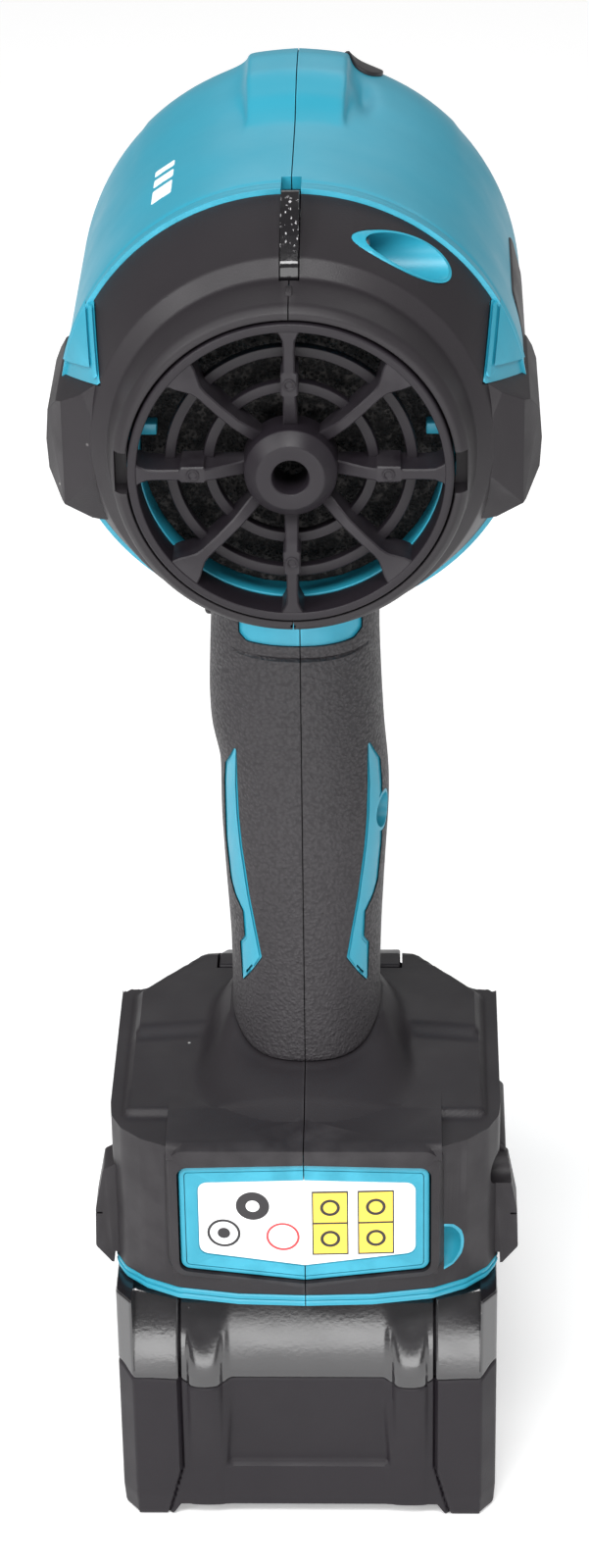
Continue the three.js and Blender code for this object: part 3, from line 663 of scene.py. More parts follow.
def inlet():
    pieces = [revolve("inlet_cover_ring", rounded([(-72, 30.3), (-72, 32.1), (-64.6, 32.1),
            (-64.6, 30.3)], [0.35, 0.6, 0.2, 0.2]), 160)]
    hub = [(-73.1, 3.7), (-73.2, 6.7), (-70.6, 9.2), (-63.9, 9.5), (-63.9, 3.4), (-71.6, 3.4)]
    pieces.append(revolve("inlet_cover_hub", rounded(hub, [0.5, 0.7, 0.9, 0.2, 0.2, 0.3]), 96))
    for k, r in enumerate((16.3, 23.9)):
        ring = rounded(rect(-66.2, -63.9, r - 1.1, r + 1.1), 0.35, 3)
        pieces.append(revolve(f"inlet_cover_hoop_{k}", ring, 128))
    for k in range(8):
        arm = spoke(k * math.pi / 4, k % 2 == 1)
        arm.name = f"inlet_cover_spoke_{k}"
        pieces.append(arm)
        if k % 2 == 0:
            a = k * math.pi / 4
            boss = rounded([(-71.6, 0.55), (-71.85, 0.75), (-72.0, 1.0), (-71.9, 1.3), (-71.5, 1.35),
                    (-71.5, 0.55)], 0.1)
            centre = (19.2 * math.cos(a), AXIS_Z + 19.2 * math.sin(a))
            pieces.append(revolve(f"inlet_cover_boss_{k}", boss, 32, centre))
    for piece in pieces:
        place(piece, "cover", ["inlet_cover"], body="inlet", sharp=30)
    rows = []
    angles = np.linspace(0, 2 * math.pi, 181)[:-1]
    for r in np.linspace(29.9, 0.05, 42):
        wave = 0.16 * np.sin(r * 5.1 + 3 * np.cos(angles * 7)) * np.cos(angles * 23 + r * 2.2)
        rows.append(polar(angles, np.full(180, r), -58.7 + wave))
    rows.insert(0, polar(angles, np.full(180, 29.9), -57.6))
    place(loft("dust_filter_disc", rows), "foam", ["dust_filter"], body="inlet", sharp=60)
    lining = [(-64.3, 30.1), (-64.3, 32.2), (-56, 32.2), (-56, 30.1)]
    place(revolve("inlet_lining", rounded(lining, 0.25), 128), "teal")
    for side, word in SIDES:
        for name, near, far, low, high, rear, front, edge in (("inlet_stop", 26.6, 30.3, 275.8, 278.2,
                -62.0, -57, 0.3), ("rim_catch", 32.3, 34.6, 267.4, 271.6, -66.0, -63, 0.2)):
            face = rect(*sorted((side * near, side * far)), low, high)
            place(ease(prism(f"{name}_{word}", face, rear, front), edge, 2), "teal")


def hanging_loop():
    outline = [(-34.7, 311.6), (-34.9, 314.8), (-38.2, 317.2), (-40.6, 318.6), (-44.2, 320.2),
            (-50, 318.8), (-55.4, 315.2), (-60.0, 311.0), (-60.6, 307.4), (-58.4, 305.4), (-50,
            305.3), (-42, 306.8), (-36.4, 309.2)]
    eye = [(-42.6, 313.4), (-48.5, 312.3), (-54.2, 309.2), (-53.8, 308.2), (-46.5, 308.5), (-42.9, 310.3)]
    hook = prism("hanging_loop_arm", rounded(outline, 2.4, 6), -1.8, 1.8, "X")
    hook = combine(hook, [prism("eye", rounded(eye, 0.8), -3, 3, "X"), rod("bore", 1.3, -3, 3,
            (-38.5, 312.6))])
    place(ease(hook, 0.7, 5, 40), "hook", ["hanging_loop"], body="loop", sharp=50)


# ---------- outlet ----------
def outlet():
    collar = [(63.2, 21.3), (63.2, 25.9), (70, 25.2), (78, 22.6), (78, 17.5), (66.4, 17.5), (66.4, 21.3)]
    place(revolve("outlet_collar_ring", rounded(collar, [0.3, 0.8, 3, 1.0, 0.5, 0.4, 0.4]), 128), "black",
            ["outlet_collar"])
    tip = [(67, 15.2), (67, 17.1), (78.3, 17.1), (78.3, 21.8), (82, 21.8), (84, 18.5), (98, 12.8),
            (128, 9.2), (131, 8.2), (131, 6.5), (98, 9.8), (80, 14.6)]
    tip_round = [0.3, 0.3, 0.3, 1.0, 1.0, 2.0, 12, 2, 0.8, 0.4, 8, 4]
    place(revolve("nozzle_cone", rounded(tip, tip_round, 6), 128), "rubber", ["nozzle"],
            body="outlet_nozzle")
    for k in range(3):
        y = 100 + 7 * k
        r = float(np.interp(y, [98, 128], [12.8, 9.2]))
        ring = rounded([(y - 1.1, r - 0.8), (y - 0.9, r + 0.25), (y + 0.9, r + 0.1), (y + 1.1, r - 0.8)],
                0.4)
        place(revolve(f"nozzle_rib_{k}", ring, 96), "rubber", body="outlet_nozzle")


# ---------- grip ----------
GRIP_TOP, GRIP_LEAN, GRIP_MID = 225.0, 0.1, -4.0
GRIP_WELL = (-18.5, 165)          # y and z of the screw well on the right of the grip
LOCK_AT = (4, 207)                # y and z of the lock button's axis
HALF_RIGHT = np.array([(100, 17.6), (108, 17.2), (120, 16.6), (134, 17.0), (150, 17.9), (160, 18.6),
        (167, 18.9), (173, 18.6), (180, 17.85), (193, 17.2), (205, 16.8), (236, 17.4)])
HALF_LEFT = np.array([(100, 17.4), (108, 17.05), (120, 16.6), (133, 16.75), (149, 17.7), (162, 18.35),
        (175, 18.3), (178.5, 18.8), (181.5, 19.8), (185, 20.3), (192, 20.5), (205, 20.0), (222,
        19.0), (236, 18.6)])


def grip_ring(z, offset, count=128, lower=None):
    """Points round the grip at a height; `lower` is how far its front stands above its rear."""
    angle = 2 * math.pi * (np.arange(count) + 0.5) / count
    c, s = np.cos(angle), np.sin(angle)
    y_share = np.sign(s) * np.abs(s) ** (2 / 2.35)
    level = np.full(count, float(z)) if lower is None else z + lower * ramp(y_share, -1.0, -0.2)
    half = np.where(c > 0, smooth_line(HALF_RIGHT, level, 4), smooth_line(HALF_LEFT, level, 3)) + offset
    x = np.sign(c) * half * np.abs(c) ** (2 / 2.35)
    lip_zone = (np.abs(x) < 14.5) * (s < 0) * (offset > -1)
    rear_lip = -0.7 * np.clip(1.5 - np.abs(level - 206.7) / 0.3, 0, 1) * lip_zone
    y = GRIP_MID - GRIP_LEAN * (GRIP_TOP - level) + (21 + offset + rear_lip) * y_share
    return np.stack([x, y, level], axis=-1)


STRIPE = [(14.2, 185.2), (17.0, 177.6), (17.4, 172), (17.3, 158), (16.4, 149.0), (15.5, 146.6),
        (13.6, 143.8), (13.3, 137.8), (14.4, 135.4), (14.0, 125.6), (9.3, 134.6), (10.4, 140.9), (11.8,
        148.7), (13.3, 160), (13.9, 167.2), (14.1, 174.4)]


def shrunk(points, inset):
    """The polygon with every side moved inwards by `inset`."""
    corners = np.asarray(points, float)
    area = np.sum(corners[:, 0] * np.roll(corners[:, 1], -1) - np.roll(corners[:, 0], -1) * corners[:, 1])
    made = []
    for i in range(len(corners)):
        a, p, b = corners[i - 1], corners[i], corners[(i + 1) % len(corners)]
        u, v = (p - a) / np.linalg.norm(p - a), (b - p) / np.linalg.norm(b - p)
        n1, n2 = np.array([-u[1], u[0]]), np.array([-v[1], v[0]])
        n = (n1 + n2) / max(1.0 + n1 @ n2, 0.35)
        made.append(p + n * inset * np.sign(area))
    return np.array(made)


def sleeve(name, outside, inside):
    """Closed band round the grip; each of its two walls is (heights, offset from the grip's surface)."""
    rings = [grip_ring(z, offset) for heights, offset in (outside, inside) for z in heights]
    return loft(name, rings, wrap=True)


def grip():
    levels = [0, 0.6, 1.2] + list(np.linspace(3, 90, 52)) + list(np.linspace(90.5, 96.5, 21)) + [98, 105,
            113, 122]
    outer = [grip_ring(110.5 + z, -0.25 if z == 0 else 0.0, lower=4.0 * (1 - z / 122)) for z in levels]
    inner = [grip_ring(110.5 + z, -2.0, lower=4.0 * (1 - z / 122)) for z in (122, 90, 60, 30, 0)]
    rubber = loft("grip_rubber", outer + inner, wrap=True)
    cutters = [prism("neck", rounded([(-13.3, 260), (-13.3, 211.0), (-11.5, 209.6), (11.5, 209.6),
            (13.3, 211.0), (13.3, 260)], [0, 1, 1, 1, 1, 0]), -60, -15.7)]
    for side in (-1, 1):
        cutters.append(prism("window", rounded(flip(STRIPE, side), 0.35, 2), -50, -12))
    cutters.append(prism("finger", rect(-7.2, 7.2, 189.6, 218.6, 1.5), 0, 40))
    cutters.append(rod("lock", 4.9, -30, -7, LOCK_AT))
    cutters.append(rod("well", 4.75, 10, 30, GRIP_WELL))
    halves(combine(rubber, cutters), "rubber", "grip", sharp=38)
    heights = (92, 120, 150, 180, 215, 234)
    core = sleeve("grip_core", (heights, -2.3), (heights[::-1], -5.0))
    core = combine(core, [prism("finger", rect(-7.3, 7.3, 189.6, 218.6), 0, 40),
            rod("hole", 3.5, 8, 30, GRIP_WELL), rod("lock", 4.9, -30, -7, LOCK_AT)])
    place(core, "black", sharp=60)
    for side, word in SIDES:
        stripe = sleeve("stripe", (np.linspace(120, 190, 36), -0.35), ((190, 155, 120), -3.0))
        shape = flip(shrunk(STRIPE, 0.12).tolist(), side)
        stripe = combine(stripe, [prism("window", shape, -50, -12)], "INTERSECT")
        ridge = sleeve("ridge", (np.linspace(120, 190, 36), -0.05), ((190, 155, 120), -3.0))
        inner_shape = flip(shrunk(STRIPE, 0.62).tolist(), side)
        ridge = combine(ridge, [prism("window", inner_shape, -50, -12)], "INTERSECT")
        bar = [(11.4, 131.4), (12.9, 128.6), (13.1, 129.2), (11.7, 131.9)]
        ridge = combine(ridge, [prism("bar", flip(bar, side), -50, -12)])
        stripe = combine(stripe, [prism("bar", flip(bar, side), -50, -12)])
        if side > 0:
            stripe = combine(stripe, [rod("well", 4.7, 10, 30, GRIP_WELL)])
            ridge = combine(ridge, [rod("well", 4.7, 10, 30, GRIP_WELL)])
        stripe.name, ridge.name = f"grip_stripe_{word}", f"grip_stripe_face_{word}"
        place(stripe, "teal", sharp=30)
        place(ridge, "teal", sharp=30)
    liner = revolve("grip_well", [(8.5, 3.2), (8.5, 4.65), (30, 4.65), (30, 3.9), (9.5, 3.9), (9.5, 3.2)],
            48, GRIP_WELL, "X")
    trim = loft("trim", [grip_ring(z, -0.1) for z in np.linspace(150, 180, 12)])
    place(combine(liner, [trim], "INTERSECT"), "teal", sharp=40)
    neck = sleeve("neck_collar", ((207.4, 214, 222, 233), -0.55), ((233, 207.4), -4))
    neck = combine(neck, [prism("gate", rect(-13.1, 13.1, 200, 240), -60, -15.9)], "INTERSECT")
    halves(neck, "teal", sharp=40)


def grip_controls():
    key = [(12.6, 190.2), (21.5, 190.2), (24.8, 193.5), (23.4, 198), (22.9, 203), (23.6, 208),
            (25.6, 213), (27.5, 217.9), (12.6, 217.9)]
    finger = ease(prism("trigger_key", rounded(key, [0, 2, 2, 6, 10, 8, 6, 1.5, 0], 4), -6.8, 6.8, "X"),
            1.1, 4)
    stem = prism("stem", rect(0, 13, 200.2, 205.8), -3.6, 3.6, "X")
    place(combine(finger, [stem], "UNION"), "black", ["trigger"], body="trigger_key")
    button = [(-11.6, 0), (-11.6, 4.6), (-21.6, 4.6), (-21.6, 0)]
    lock = revolve("lock_button_cap", rounded(button, [0, 0.2, 0.9, 0]), 64, LOCK_AT, "X")
    grooves = [prism("groove", rect(y, y + 0.6, 200, 214), -23, -21.2, "X") for y in (0.2, 2.4, 4.6)]
    place(combine(lock, grooves), "black", ["lock_button"], body="lock_key")


# ---------- base ----------
BASE_HALF, BASE_UNDER, PLATEAU, TERRACE = 43.5, 64.6, 106.5, 104.3
SNOUT_HALF = 30.8
WELL_AT = (-59.6, 75.0)           # y and z of the screw well in the right wall of the base
SCOOP = [(30.9, 0), (30.9, 6.6), (33, 6.3), (34.8, 5.2), (36, 3.4), (36.5, 0)]


def base_height(x, y):
    """Top surface of the base: plateau, terrace, facets, rear columns and the collar of the grip."""
    side = np.abs(x)
    top = TERRACE + (PLATEAU - TERRACE) * ramp(y + 0.12 * (side - 30), -19.0, -14.0)
    top = top - 0.5 * ramp(y, -25, -44)
    turn = 0.69
    corner = (side - 36.3) * math.cos(turn) + (y - 1.3) * math.sin(turn)
    planes = [
        (PLATEAU - 2.755 * (side - 38.6), 0.5),      # side bevels
        (PLATEAU - 1.25 * corner, 0.5),              # front corners
        (PLATEAU - 0.613 * (y - 15), 0.5),           # slope under the control panel
        (87.5 - 1.25 * (y - 46), 1.0),               # front end
        (TERRACE + 2.18 * (y + 45.5), 0.7),          # rear of the terrace
        (92.3 + 3.29 * (y + 51), 0.9),               # rear columns
        (93 - 6.0 * (side - 43.1), 1.0),             # upper edge of the side walls
    ]
    for plane, width in planes:
        top = blend_min(top, plane, width)
    power, middle = 2.35, GRIP_MID - GRIP_LEAN * (GRIP_TOP - 110)
    u, v = side / 17.1, (y - middle) / 21.0
    rho = (np.abs(u) ** power + np.abs(v) ** power) ** (1 / power)
    rearward = np.clip(-v / np.maximum(rho, 1e-6), -1, 1)
    edge = 110.0 + 4.2 * ramp(-rearward, -1.0, -0.2)
    away = np.hypot(x, y - middle) * np.maximum(1 - 1 / np.maximum(rho, 1e-6), 0)
    reach = 8.5 + 13.0 * ramp(rearward, 0.15, 0.95)
    drop = edge - 102.5
    fall = np.clip(away / reach, 0, 1)
    collar = edge - drop * (0.35 * fall + 0.65 * fall ** 2 * (3 - 2 * fall)) - 0.3 * ramp(away, 0.5, 0.9)
    return blend_max(top, collar - 40 * ramp(y, 6.0, 12.0), 1.6)


def base_front(x):
    return np.interp(np.abs(x), [0, 32, 40, 43.5], [52, 52, 44, 34])


def base_rear(x):
    """Plan of the base's rear edge, where it meets the teal band."""
    line = [(0, -61.9), (15, -61.3), (28.5, -59), (36, -55.3), (40.7, -51), (43.1, -46), (43.5, -41)]
    return np.interp(np.abs(x), *np.transpose(line))


def base_block():
    edge = np.linspace(41, BASE_HALF, 9)
    columns = np.concatenate([-edge[::-1], np.arange(-40.5, 40.6, 0.75), edge])
    share = np.concatenate([np.linspace(0, 0.2, 34), np.linspace(0.2, 0.62, 52)[1:],
            np.linspace(0.62, 1, 18)[1:]])
    x, t = np.meshgrid(columns, share)
    rear = base_rear(x) + 0.4
    y = rear + (base_front(x) - rear) * t
    z = base_height(x, y)
    rows, count = x.shape
    verts = np.stack([x, y, z], axis=-1).reshape(-1, 3)
    floor = verts * (1, 1, 0) + (0, 0, BASE_UNDER)
    grid = np.arange(rows * count).reshape(rows, count)
    rim = np.concatenate([grid[0], grid[1:, -1], grid[-1, -2::-1], grid[-2:0:-1, 0]])
    low = rows * count + np.arange(len(rim))
    quads = np.stack([grid[:-1, :-1], grid[:-1, 1:], grid[1:, 1:], grid[1:, :-1]], axis=-1)
    walls = np.stack([rim, np.roll(rim, -1), np.roll(low, -1), low], axis=-1)
    faces = quads.reshape(-1, 4).tolist() + walls.tolist() + [low.tolist()]
    return solid("base_cover_top", np.concatenate([verts, floor[rim]]), faces)


def bowed(half, top_mid, top_end, low_mid, low_end, radius, left=None):
    """Panel outline in (x, z) with a shallow V at its top and bottom, and round corners."""
    left = -half if left is None else left
    corners = [(left, low_end), (0, low_mid), (half, low_end), (half, top_end), (0, top_mid),
            (left, top_end)]
    return rounded(corners, [radius, 0, radius, radius, 0, radius], 6)


def rear_panel(name, outline, front, rear, rim, bow=1.3):
    """Panel that faces the rear: rounded rim, and a face that falls away to both sides of its crease."""
    outline = np.asarray(outline, float)
    face = shrunk(outline, rim)
    middle = face.mean(axis=0)
    steps = [(outline, front), (outline, rear + rim), (shrunk(outline, rim * 0.3), rear + rim * 0.3),
            (face, rear)]
    steps += [(middle + (face - middle) * share, rear) for share in (0.75, 0.5, 0.25, 0.002)]
    rings = [np.stack([points[:, 0], y + bow * (np.abs(points[:, 0]) / 30) ** 1.4, points[:, 1]], axis=-1)
            for points, y in steps]
    return loft(name, rings)


def base():
    body = base_block()
    snout = rear_panel("snout", bowed(SNOUT_HALF, 104.3, 103.4, 65.3, 68.6, 4.5), -42, -62.3, 3.2)
    shelf = prism("shelf", rounded([(-30, 100), (-56, 100), (-60.5, 100.5), (-58.5, 103.7), (-46, 104.35),
            (-30, 104.0)], [0, 0, 0, 3, 2, 0]), -SNOUT_HALF + 0.5, SNOUT_HALF - 0.5, "X")
    core = prism("core", rect(-29.5, 29.5, 69.5, 99), -60, -42)
    body = combine(body, [snout, shelf, core], "UNION")
    ears = []
    for side in (-1, 1):
        ear = [(41.0, 90.6), (42.0, 90.2), (45.4, 88.2), (47.4, 77.4), (47.7, 67.4), (44.2, 62.9),
                (43.7, 62.9), (43.7, 65.8), (41.0, 65.8)]
        block = prism("ear", rounded(flip(ear, side), [0, 0.6, 1.0, 0.8, 1.4, 0.5, 0, 0, 0][::side], 4),
                -46.8, -38.2)
        ears.append(block)
        line = prism("line", flip([(45.9, 76.2), (49, 76.2), (49, 76.7), (45.9, 76.7)], side), -48, 35)
        ears[-1] = combine(ears[-1], [line])
    ears.append(ease(prism("rib", [(42, 84), (44.9, 84), (44.9, 89.8), (43.4, 91.4), (42, 91.4)], -39.8,
            -14.2), 0.5))
    body = combine(body, ears, "UNION")
    frame_room = prism("frame", bowed(28.0, 100.3, 98.8, 68.2, 70.8, 2.5), -70, -46)
    inside = prism("inside", [(-53, 50), (45, 50), (45, 68), (38, 74), (30, 80), (10, 94), (-12, 100),
            (-40, 98), (-47, 88), (-52, 68)], -35, 35, "X")
    neck = loft("neck", [grip_ring(z, -2.1) for z in (80, 100, 120, 140)])
    panel = prism("panel", [(8.7, 94), (8.7, 120), (50, 120), (50, 80)], -21.6, 21.6, "X")
    rails = prism("rails", rect(-25.7, 25.7, 56, 75.2), 35, 70)
    lined = link(bpy.data.objects.new("base_well", body.data.copy()))
    pipe = revolve("pipe", SCOOP[1:] + [(35.8, 0), (35.4, 3.0), (34.3, 4.6), (32.8, 5.7), (30.9, 6.0)],
            64, WELL_AT, "X")
    place(combine(lined, [pipe], "INTERSECT"), "teal")
    scoop = revolve("scoop", SCOOP, 64, WELL_AT, "X")
    wells = [rod("well", 3.9, 8, 60, centre) for centre in ((-45.5, 88.5), (38.5, 79.4))]
    body = combine(body, [frame_room, inside, neck, panel, rails, scoop] + wells)
    halves(body, "black", "base_cover", sharp=33)


def base_trim():
    """Teal band above the battery, the teal frame and its label."""
    x = np.linspace(-43.2, 43.2, 121)
    for k, (low, high, out) in enumerate([(62.2, 63.3, 0.35), (63.45, 64.55, 0.0)]):
        outer = np.stack([x, base_rear(x) - out], axis=-1)
        inner = np.stack([x[::-1] * 0.9, base_rear(x[::-1]) + 5], axis=-1)
        outline = np.concatenate([outer, inner])
        strip = loft("base_band_upper" if k else "base_band_lower", [[(u, v, z) for u, v in points]
                for points, z in ((outline * (0.992, 1), low), (outline, low + 0.25),
                (outline, high - 0.25), (outline * (0.992, 1) + (0, 0.25), high))])
        halves(strip, "teal", sharp=40)
    sides = prism("base_rim", rect(-43.2, 43.2, 62.2, 64.5), -42, 40)
    sides = combine(sides, [prism("room", rect(-41, 41, 60, 67), -44, 42)])
    place(ease(sides, 0.4, 2), "teal")
    rim = bowed(27.7, 99.9, 98.4, 68.6, 71.2, 2.2)
    frame_ring = rear_panel("label_frame", rim, -57.5, -61.6, 0.7)
    opening = bowed(24.75, 95.95, 94.65, 72.55, 75.45, 2.4, -23.6)
    frame_ring = combine(frame_ring, [prism("opening", opening, -70, -60.3)])
    line = rear_panel("line", shrunk(rim, 1.25), -60.7, -63, 0.05)
    line = combine(line, [rear_panel("inner", shrunk(rim, 1.45), -59, -64, 0.05)])
    halves(combine(frame_ring, [line]), "teal", sharp=35)
    label = rear_panel("label_sheet", shrunk(opening, 0.15), -59.8, -61.35, 0.15)
    place(label, "white", ["label_plate"])


def label_marks():
    """Plain printed shapes: discs, rings and two framed yellow panels."""
    def flat(name, outline, look, level, hole=None):
        bow = 1.3
        outline = np.asarray(outline, float)
        rings = []
        for y in (-61.2, -61.38 - level):
            rings.append([(u, y + bow * (abs(u) / 30) ** 1.4, v) for u, v in outline])
        piece = loft(name, rings)
        if hole is not None:
            piece = combine(piece, [prism("hole", hole, -65, -58)])
        place(piece, look, slot="label_white", sharp=60)

    def disc(u, v, r):
        return [(u + r * math.cos(a), v + r * math.sin(a)) for a in np.linspace(0, 2 * math.pi, 49)[:-1]]

    flat("label_disc", disc(-11.4, 88.6, 3.7), "ink", 0.04)
    flat("label_disc_dot", disc(-11.4, 88.6, 1.5), "white", 0.07)
    flat("label_ring", disc(-17.9, 81.1, 3.7), "ink", 0.04, disc(-17.9, 81.1, 3.1))
    flat("label_ring_dot", disc(-17.9, 81.1, 1.4), "ink", 0.04)
    flat("label_red_ring", disc(-4.8, 80.5, 3.7), "red", 0.04, disc(-4.8, 80.5, 3.2))
    for k, u in enumerate((5.7, 15.8)):
        flat(f"label_panel_{k}", rect(u - 4.0, u + 4.0, 75.6, 92.7), "ink", 0.03)
        for m, v in enumerate((79.95, 88.35)):
            flat(f"label_cell_{k}{m}", rect(u - 3.7, u + 3.7, v - 3.95, v + 3.95), "yellow", 0.05)
            flat(f"label_mark_{k}{m}", disc(u, v, 2.2), "ink", 0.07, disc(u, v, 1.5))


def panel():
    slab = [(9.2, 99.6), (9.2, 107.0), (16, 106.0), (46.0, 88.1), (46.0, 83.2), (16, 98.9)]
    slab = prism("control_panel_plate", rounded(slab, [0, 0.8, 3, 1.2, 0, 0]), -21.1, 21.1, "X")
    slab = ease(slab, 0.5, 3, 40)
    pad = ease(prism("pad", rect(-14.3, 14.3, 10.2, 33, 2.0), 96, 104.7, "Z"), 0.5, 3, 40)
    holes = [rod("hole", 4.6, 80, 130, (u, 20), "Z") for u in (-7, 7)] + [rod("hole", 1.95, 80, 130,
            (0, 29.4), "Z")]
    place(combine(combine(slab, [pad], "UNION"), holes), "cover", ["control_panel"], sharp=35)
    for name, u in (("power", -7), ("mode", 7)):
        cap = revolve(f"{name}_button_cap", rounded([(99.2, 0), (99.2, 4.25), (105.7, 4.25), (105.3, 0)],
                [0, 0.2, 0.7, 0]), 64, (u, 20), "Z")
        place(cap, "grey", [f"{name}_button"], body=f"{name}_key")
        mark = revolve(f"{name}_button_mark", [(105.2, 1.0), (105.2, 1.45), (105.62, 1.45), (105.6, 1.0)],
                40, (u, 20), "Z")
        place(mark, "white", body=f"{name}_key", slot="grey_plastic")
    lens = revolve("level_lamp_lens", rounded([(97.2, 0), (97.2, 1.65), (104.8, 1.65), (105.1, 0)],
            [0, 0, 0.5, 0]), 40, (0, 29.4), "Z")
    place(lens, "lamp", ["level_lamp"])


# ---------- battery ----------
PACK_HALF, PACK_REAR, PACK_FRONT, PACK_TOP = 43.0, -60.0, 58.0, 61.5
SEAM = 28.95


def pack_outline():
    corners = [(-PACK_HALF, PACK_FRONT), (-PACK_HALF, -55.6), (-39.5, PACK_REAR), (39.5, PACK_REAR),
            (PACK_HALF, -55.6), (PACK_HALF, PACK_FRONT)]
    plan = rounded(corners, [7, 2.2, 1.2, 1.2, 2.2, 7], 7)
    points = []
    for a, b in zip(plan, np.roll(plan, -1, axis=0)):
        gap = np.linalg.norm(b - a)
        pitch = 0.4 if max(a[1], b[1]) < -54 else 3.0
        parts = max(1, int(gap / pitch))
        points += [a + (b - a) * k / parts for k in range(parts)]
    return np.array(points)


def groove(value, middle, half, depth):
    return depth * np.clip(1.6 - np.abs(value - middle) / half, 0, 1)


def split_height(x):
    """Height of the joint between the two case pieces along the rear face."""
    side = np.abs(x)
    line = 39.0 - 1.1 * ramp(side, 17.0, 19.6) + 1.5 * ramp(side, 27.0, 29.2) + 0.3 * ramp(side, 30, 36)
    return line + 2.8 * ramp(side, 38.6, PACK_HALF)


def bump_rise(x):
    """Cross-section of the two rounded ribs on the rear face."""
    u = (np.abs(x) - 23.4) / 3.9
    return np.sqrt(np.clip(1 - u ** 2, 0, 1))


def upper_depth(x, z):
    side = np.abs(x)
    middle = side < SEAM
    ledge = np.where(middle, np.clip(z - 56.4, 0, None) * 0.5 + 0.6 * ramp(z, 56.0, 56.8), 0)
    cap = np.where(middle, 0, np.clip(z - np.interp(side, [29.5, 39.5], [57.0, 58.6]), 0, None) * 1.2)
    rib = 1.9 * bump_rise(x) * ramp(54.5 - z, 0, 12)
    facet = 0.7 * ramp(side, 17.0, 19.4) * ramp(54.5 - z, -2.5, 6)
    rise = np.clip(z - 41, 0, None)
    lean = np.where(middle, 0.18, 0.24) * rise + 0.015 * rise ** 2
    return ledge + cap + lean - (rib + facet) * middle + groove(side, SEAM, 0.26, 0.8) + 1.4 * middle


def lower_depth(x, z):
    side = np.abs(x)
    seam = np.where(z > 13.5, SEAM + 0.15, SEAM + 0.15 + 2.6 * (13.5 - z) / 10.5)
    middle = side < seam
    recess = 1.2 * ramp(19.4 - side - 0.07 * (z - 14), 0, 1.6) * ramp(z, 13.7, 14.5) * ramp(z, 42, 18)
    slant = 0.10 * np.clip(13.5 - z, 0, None)
    rib = (1.9 * bump_rise(x) + 0.7 * ramp(side, 17.0, 19.4)) * (1 - 0.8 * ramp(split_height(x) - z, 0, 23))
    return groove(side, seam, 0.26, 0.7) + np.where(middle, 1.4 + recess - slant - rib * (side > 17.5), 0)


def pack_case(name, look, node, low, high, depth, cutter):
    """One piece of the case: the plan from height `low` to `high`, its rear face sunk by `depth`."""
    plan = pack_outline()
    x, y = plan[:, 0], plan[:, 1]
    rear = y < PACK_REAR + 0.02
    inward = np.stack([-np.sign(x) * (np.abs(x) > 39.5), np.where(y < 0, 1.0, -1.0)], axis=-1)
    rings = []
    fine = np.linspace(0.03, 0.97, 60)
    for share in np.concatenate([[0, 0.003, 0.01, 0.018], fine, [0.985, 0.996, 1]]):
        z = low(x, y) + (high(x, y) - low(x, y)) * share
        sink = np.where(rear, depth(x, z), 0)
        foot = 0.4 * np.clip((6 - z) / 6, 0, 1) + 0.9 * (1 - np.sqrt(1 - np.clip((1.2 - z) / 1.2, 0,
                1) ** 2))
        edge = foot + 0.25 * (1 - ramp(np.minimum(z - low(x, y), high(x, y) - z), 0, 0.5))
        spot = plan + inward * edge[:, None]
        rings.append(np.stack([spot[:, 0], spot[:, 1] + sink, z], axis=-1))
    place(combine(loft(name, rings), [cutter]), look, [node], body="battery", sharp=40)


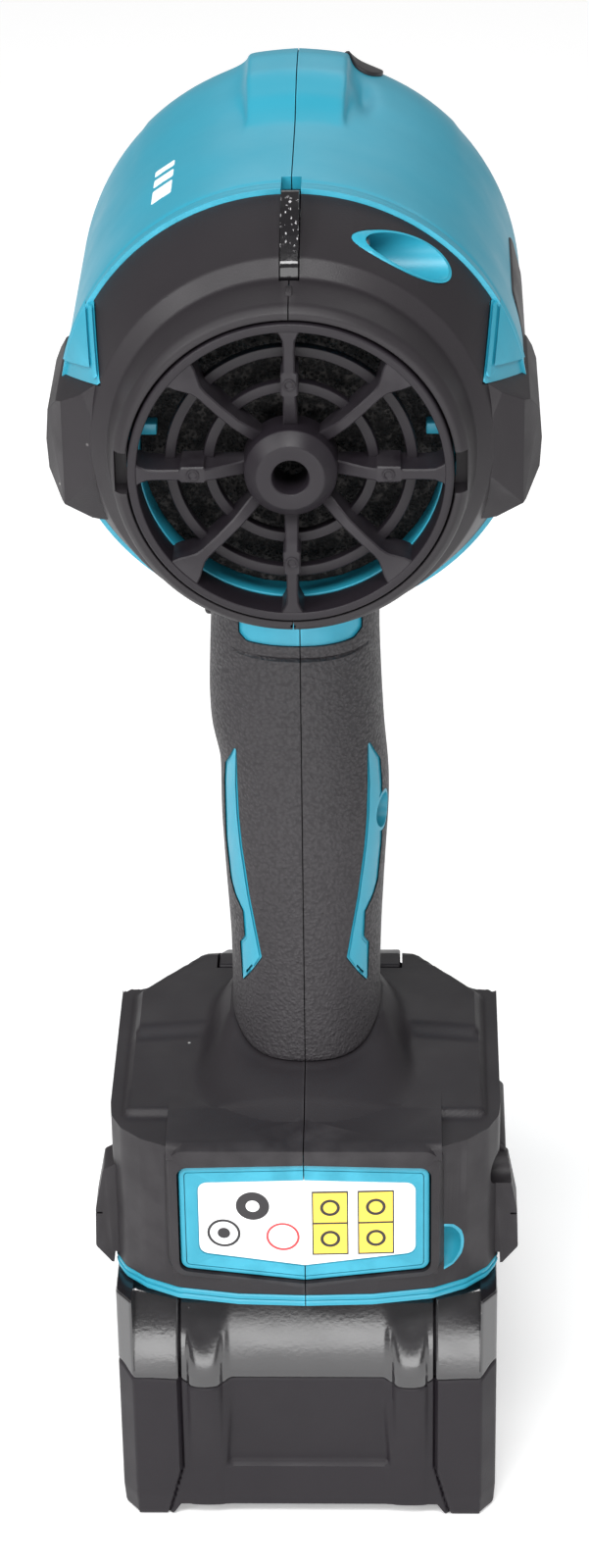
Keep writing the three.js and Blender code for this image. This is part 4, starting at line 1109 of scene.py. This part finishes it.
def battery():
    def joint(x, y):
        rear = ramp(y, -50, -58)
        return 38.0 + (split_height(x) - 38.0) * rear + 3.0 * ramp(np.abs(x), 41, 43) * (1 - rear)

    latch = prism("latch", rect(-13.4, 13.4, 41.6, 58.4, 1.5), 50, 70)
    pack_case("battery_upper_case", "gloss", "battery_upper", lambda x, y: joint(x, y) + 0.12, lambda x,
            y: np.full(x.shape, PACK_TOP), upper_depth, latch)
    channel = prism("channel", [(-32.4, -1), (-29.6, 3.2), (29.6, 3.2), (32.4, -1)], -70, 70)
    pack_case("battery_lower_case", "matt", "battery_lower", lambda x, y: 0.0 * x, lambda x,
            y: joint(x, y) - 0.12, lower_depth, channel)
    rails = [(-20.8, 60), (20.8, 60), (20.8, 66.8), (24.8, 66.8), (24.8, 74.2), (-24.8, 74.2),
            (-24.8, 66.8), (-20.8, 66.8)]
    rail = combine(prism("battery_rail", rails, -48.9, 49.9),
            [prism("room", rect(-17.5, 17.5, 60.5, 71.4), -46, 47)])
    place(ease(rail, 0.5, 2, 40), "black", body="battery")
    key = ease(prism("release_button_cap", rect(-13, 13, 46.3, 57.9, 2.0), 56.6, 60.1), 0.7, 3, 40)
    ribs = [prism("groove", rect(-9.5, 9.5, z - 0.4, z + 0.4), 59.6, 62) for z in (49.5, 51.8, 54.1)]
    place(combine(key, ribs), "grey", ["release_button"], body="release_key", slot="dark_plastic")


# ---------- screws ----------
def screws():
    for name in sorted(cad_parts):
        if not name.startswith("screw_"):
            continue
        low, high = box_mm(name)
        y, z, reach = (low[1] + high[1]) / 2, (low[2] + high[2]) / 2, high[0]
        head = revolve(name.replace("screw", "screw_head"),
                rounded([(reach - 2.7, 0), (reach - 2.7, 3.05), (reach - 0.1, 3.05), (reach, 0)],
                [0, 0.3, 0.8, 0]), 48, (y, z), "X")
        arms = 6
        star = [((1.75 if k % 2 else 1.15) * math.cos(math.pi * k / arms) + y,
                (1.75 if k % 2 else 1.15) * math.sin(math.pi * k / arms) + z) for k in range(2 * arms)]
        head = combine(head, [prism("star", rounded(star, 0.25, 2), reach - 1.5, reach + 1, "X")])
        shank = rod("shank", 1.45, low[0], reach - 2.6, (y, z), "X", 24)
        place(combine(head, [shank], "UNION"), "steel", [name], sharp=40)


dress_nodes()
drum()
body_marks()
shoulder()
tongues()
screw_well()
inlet()
hanging_loop()
outlet()
grip()
grip_controls()
base()
base_trim()
label_marks()
panel()
battery()
screws()
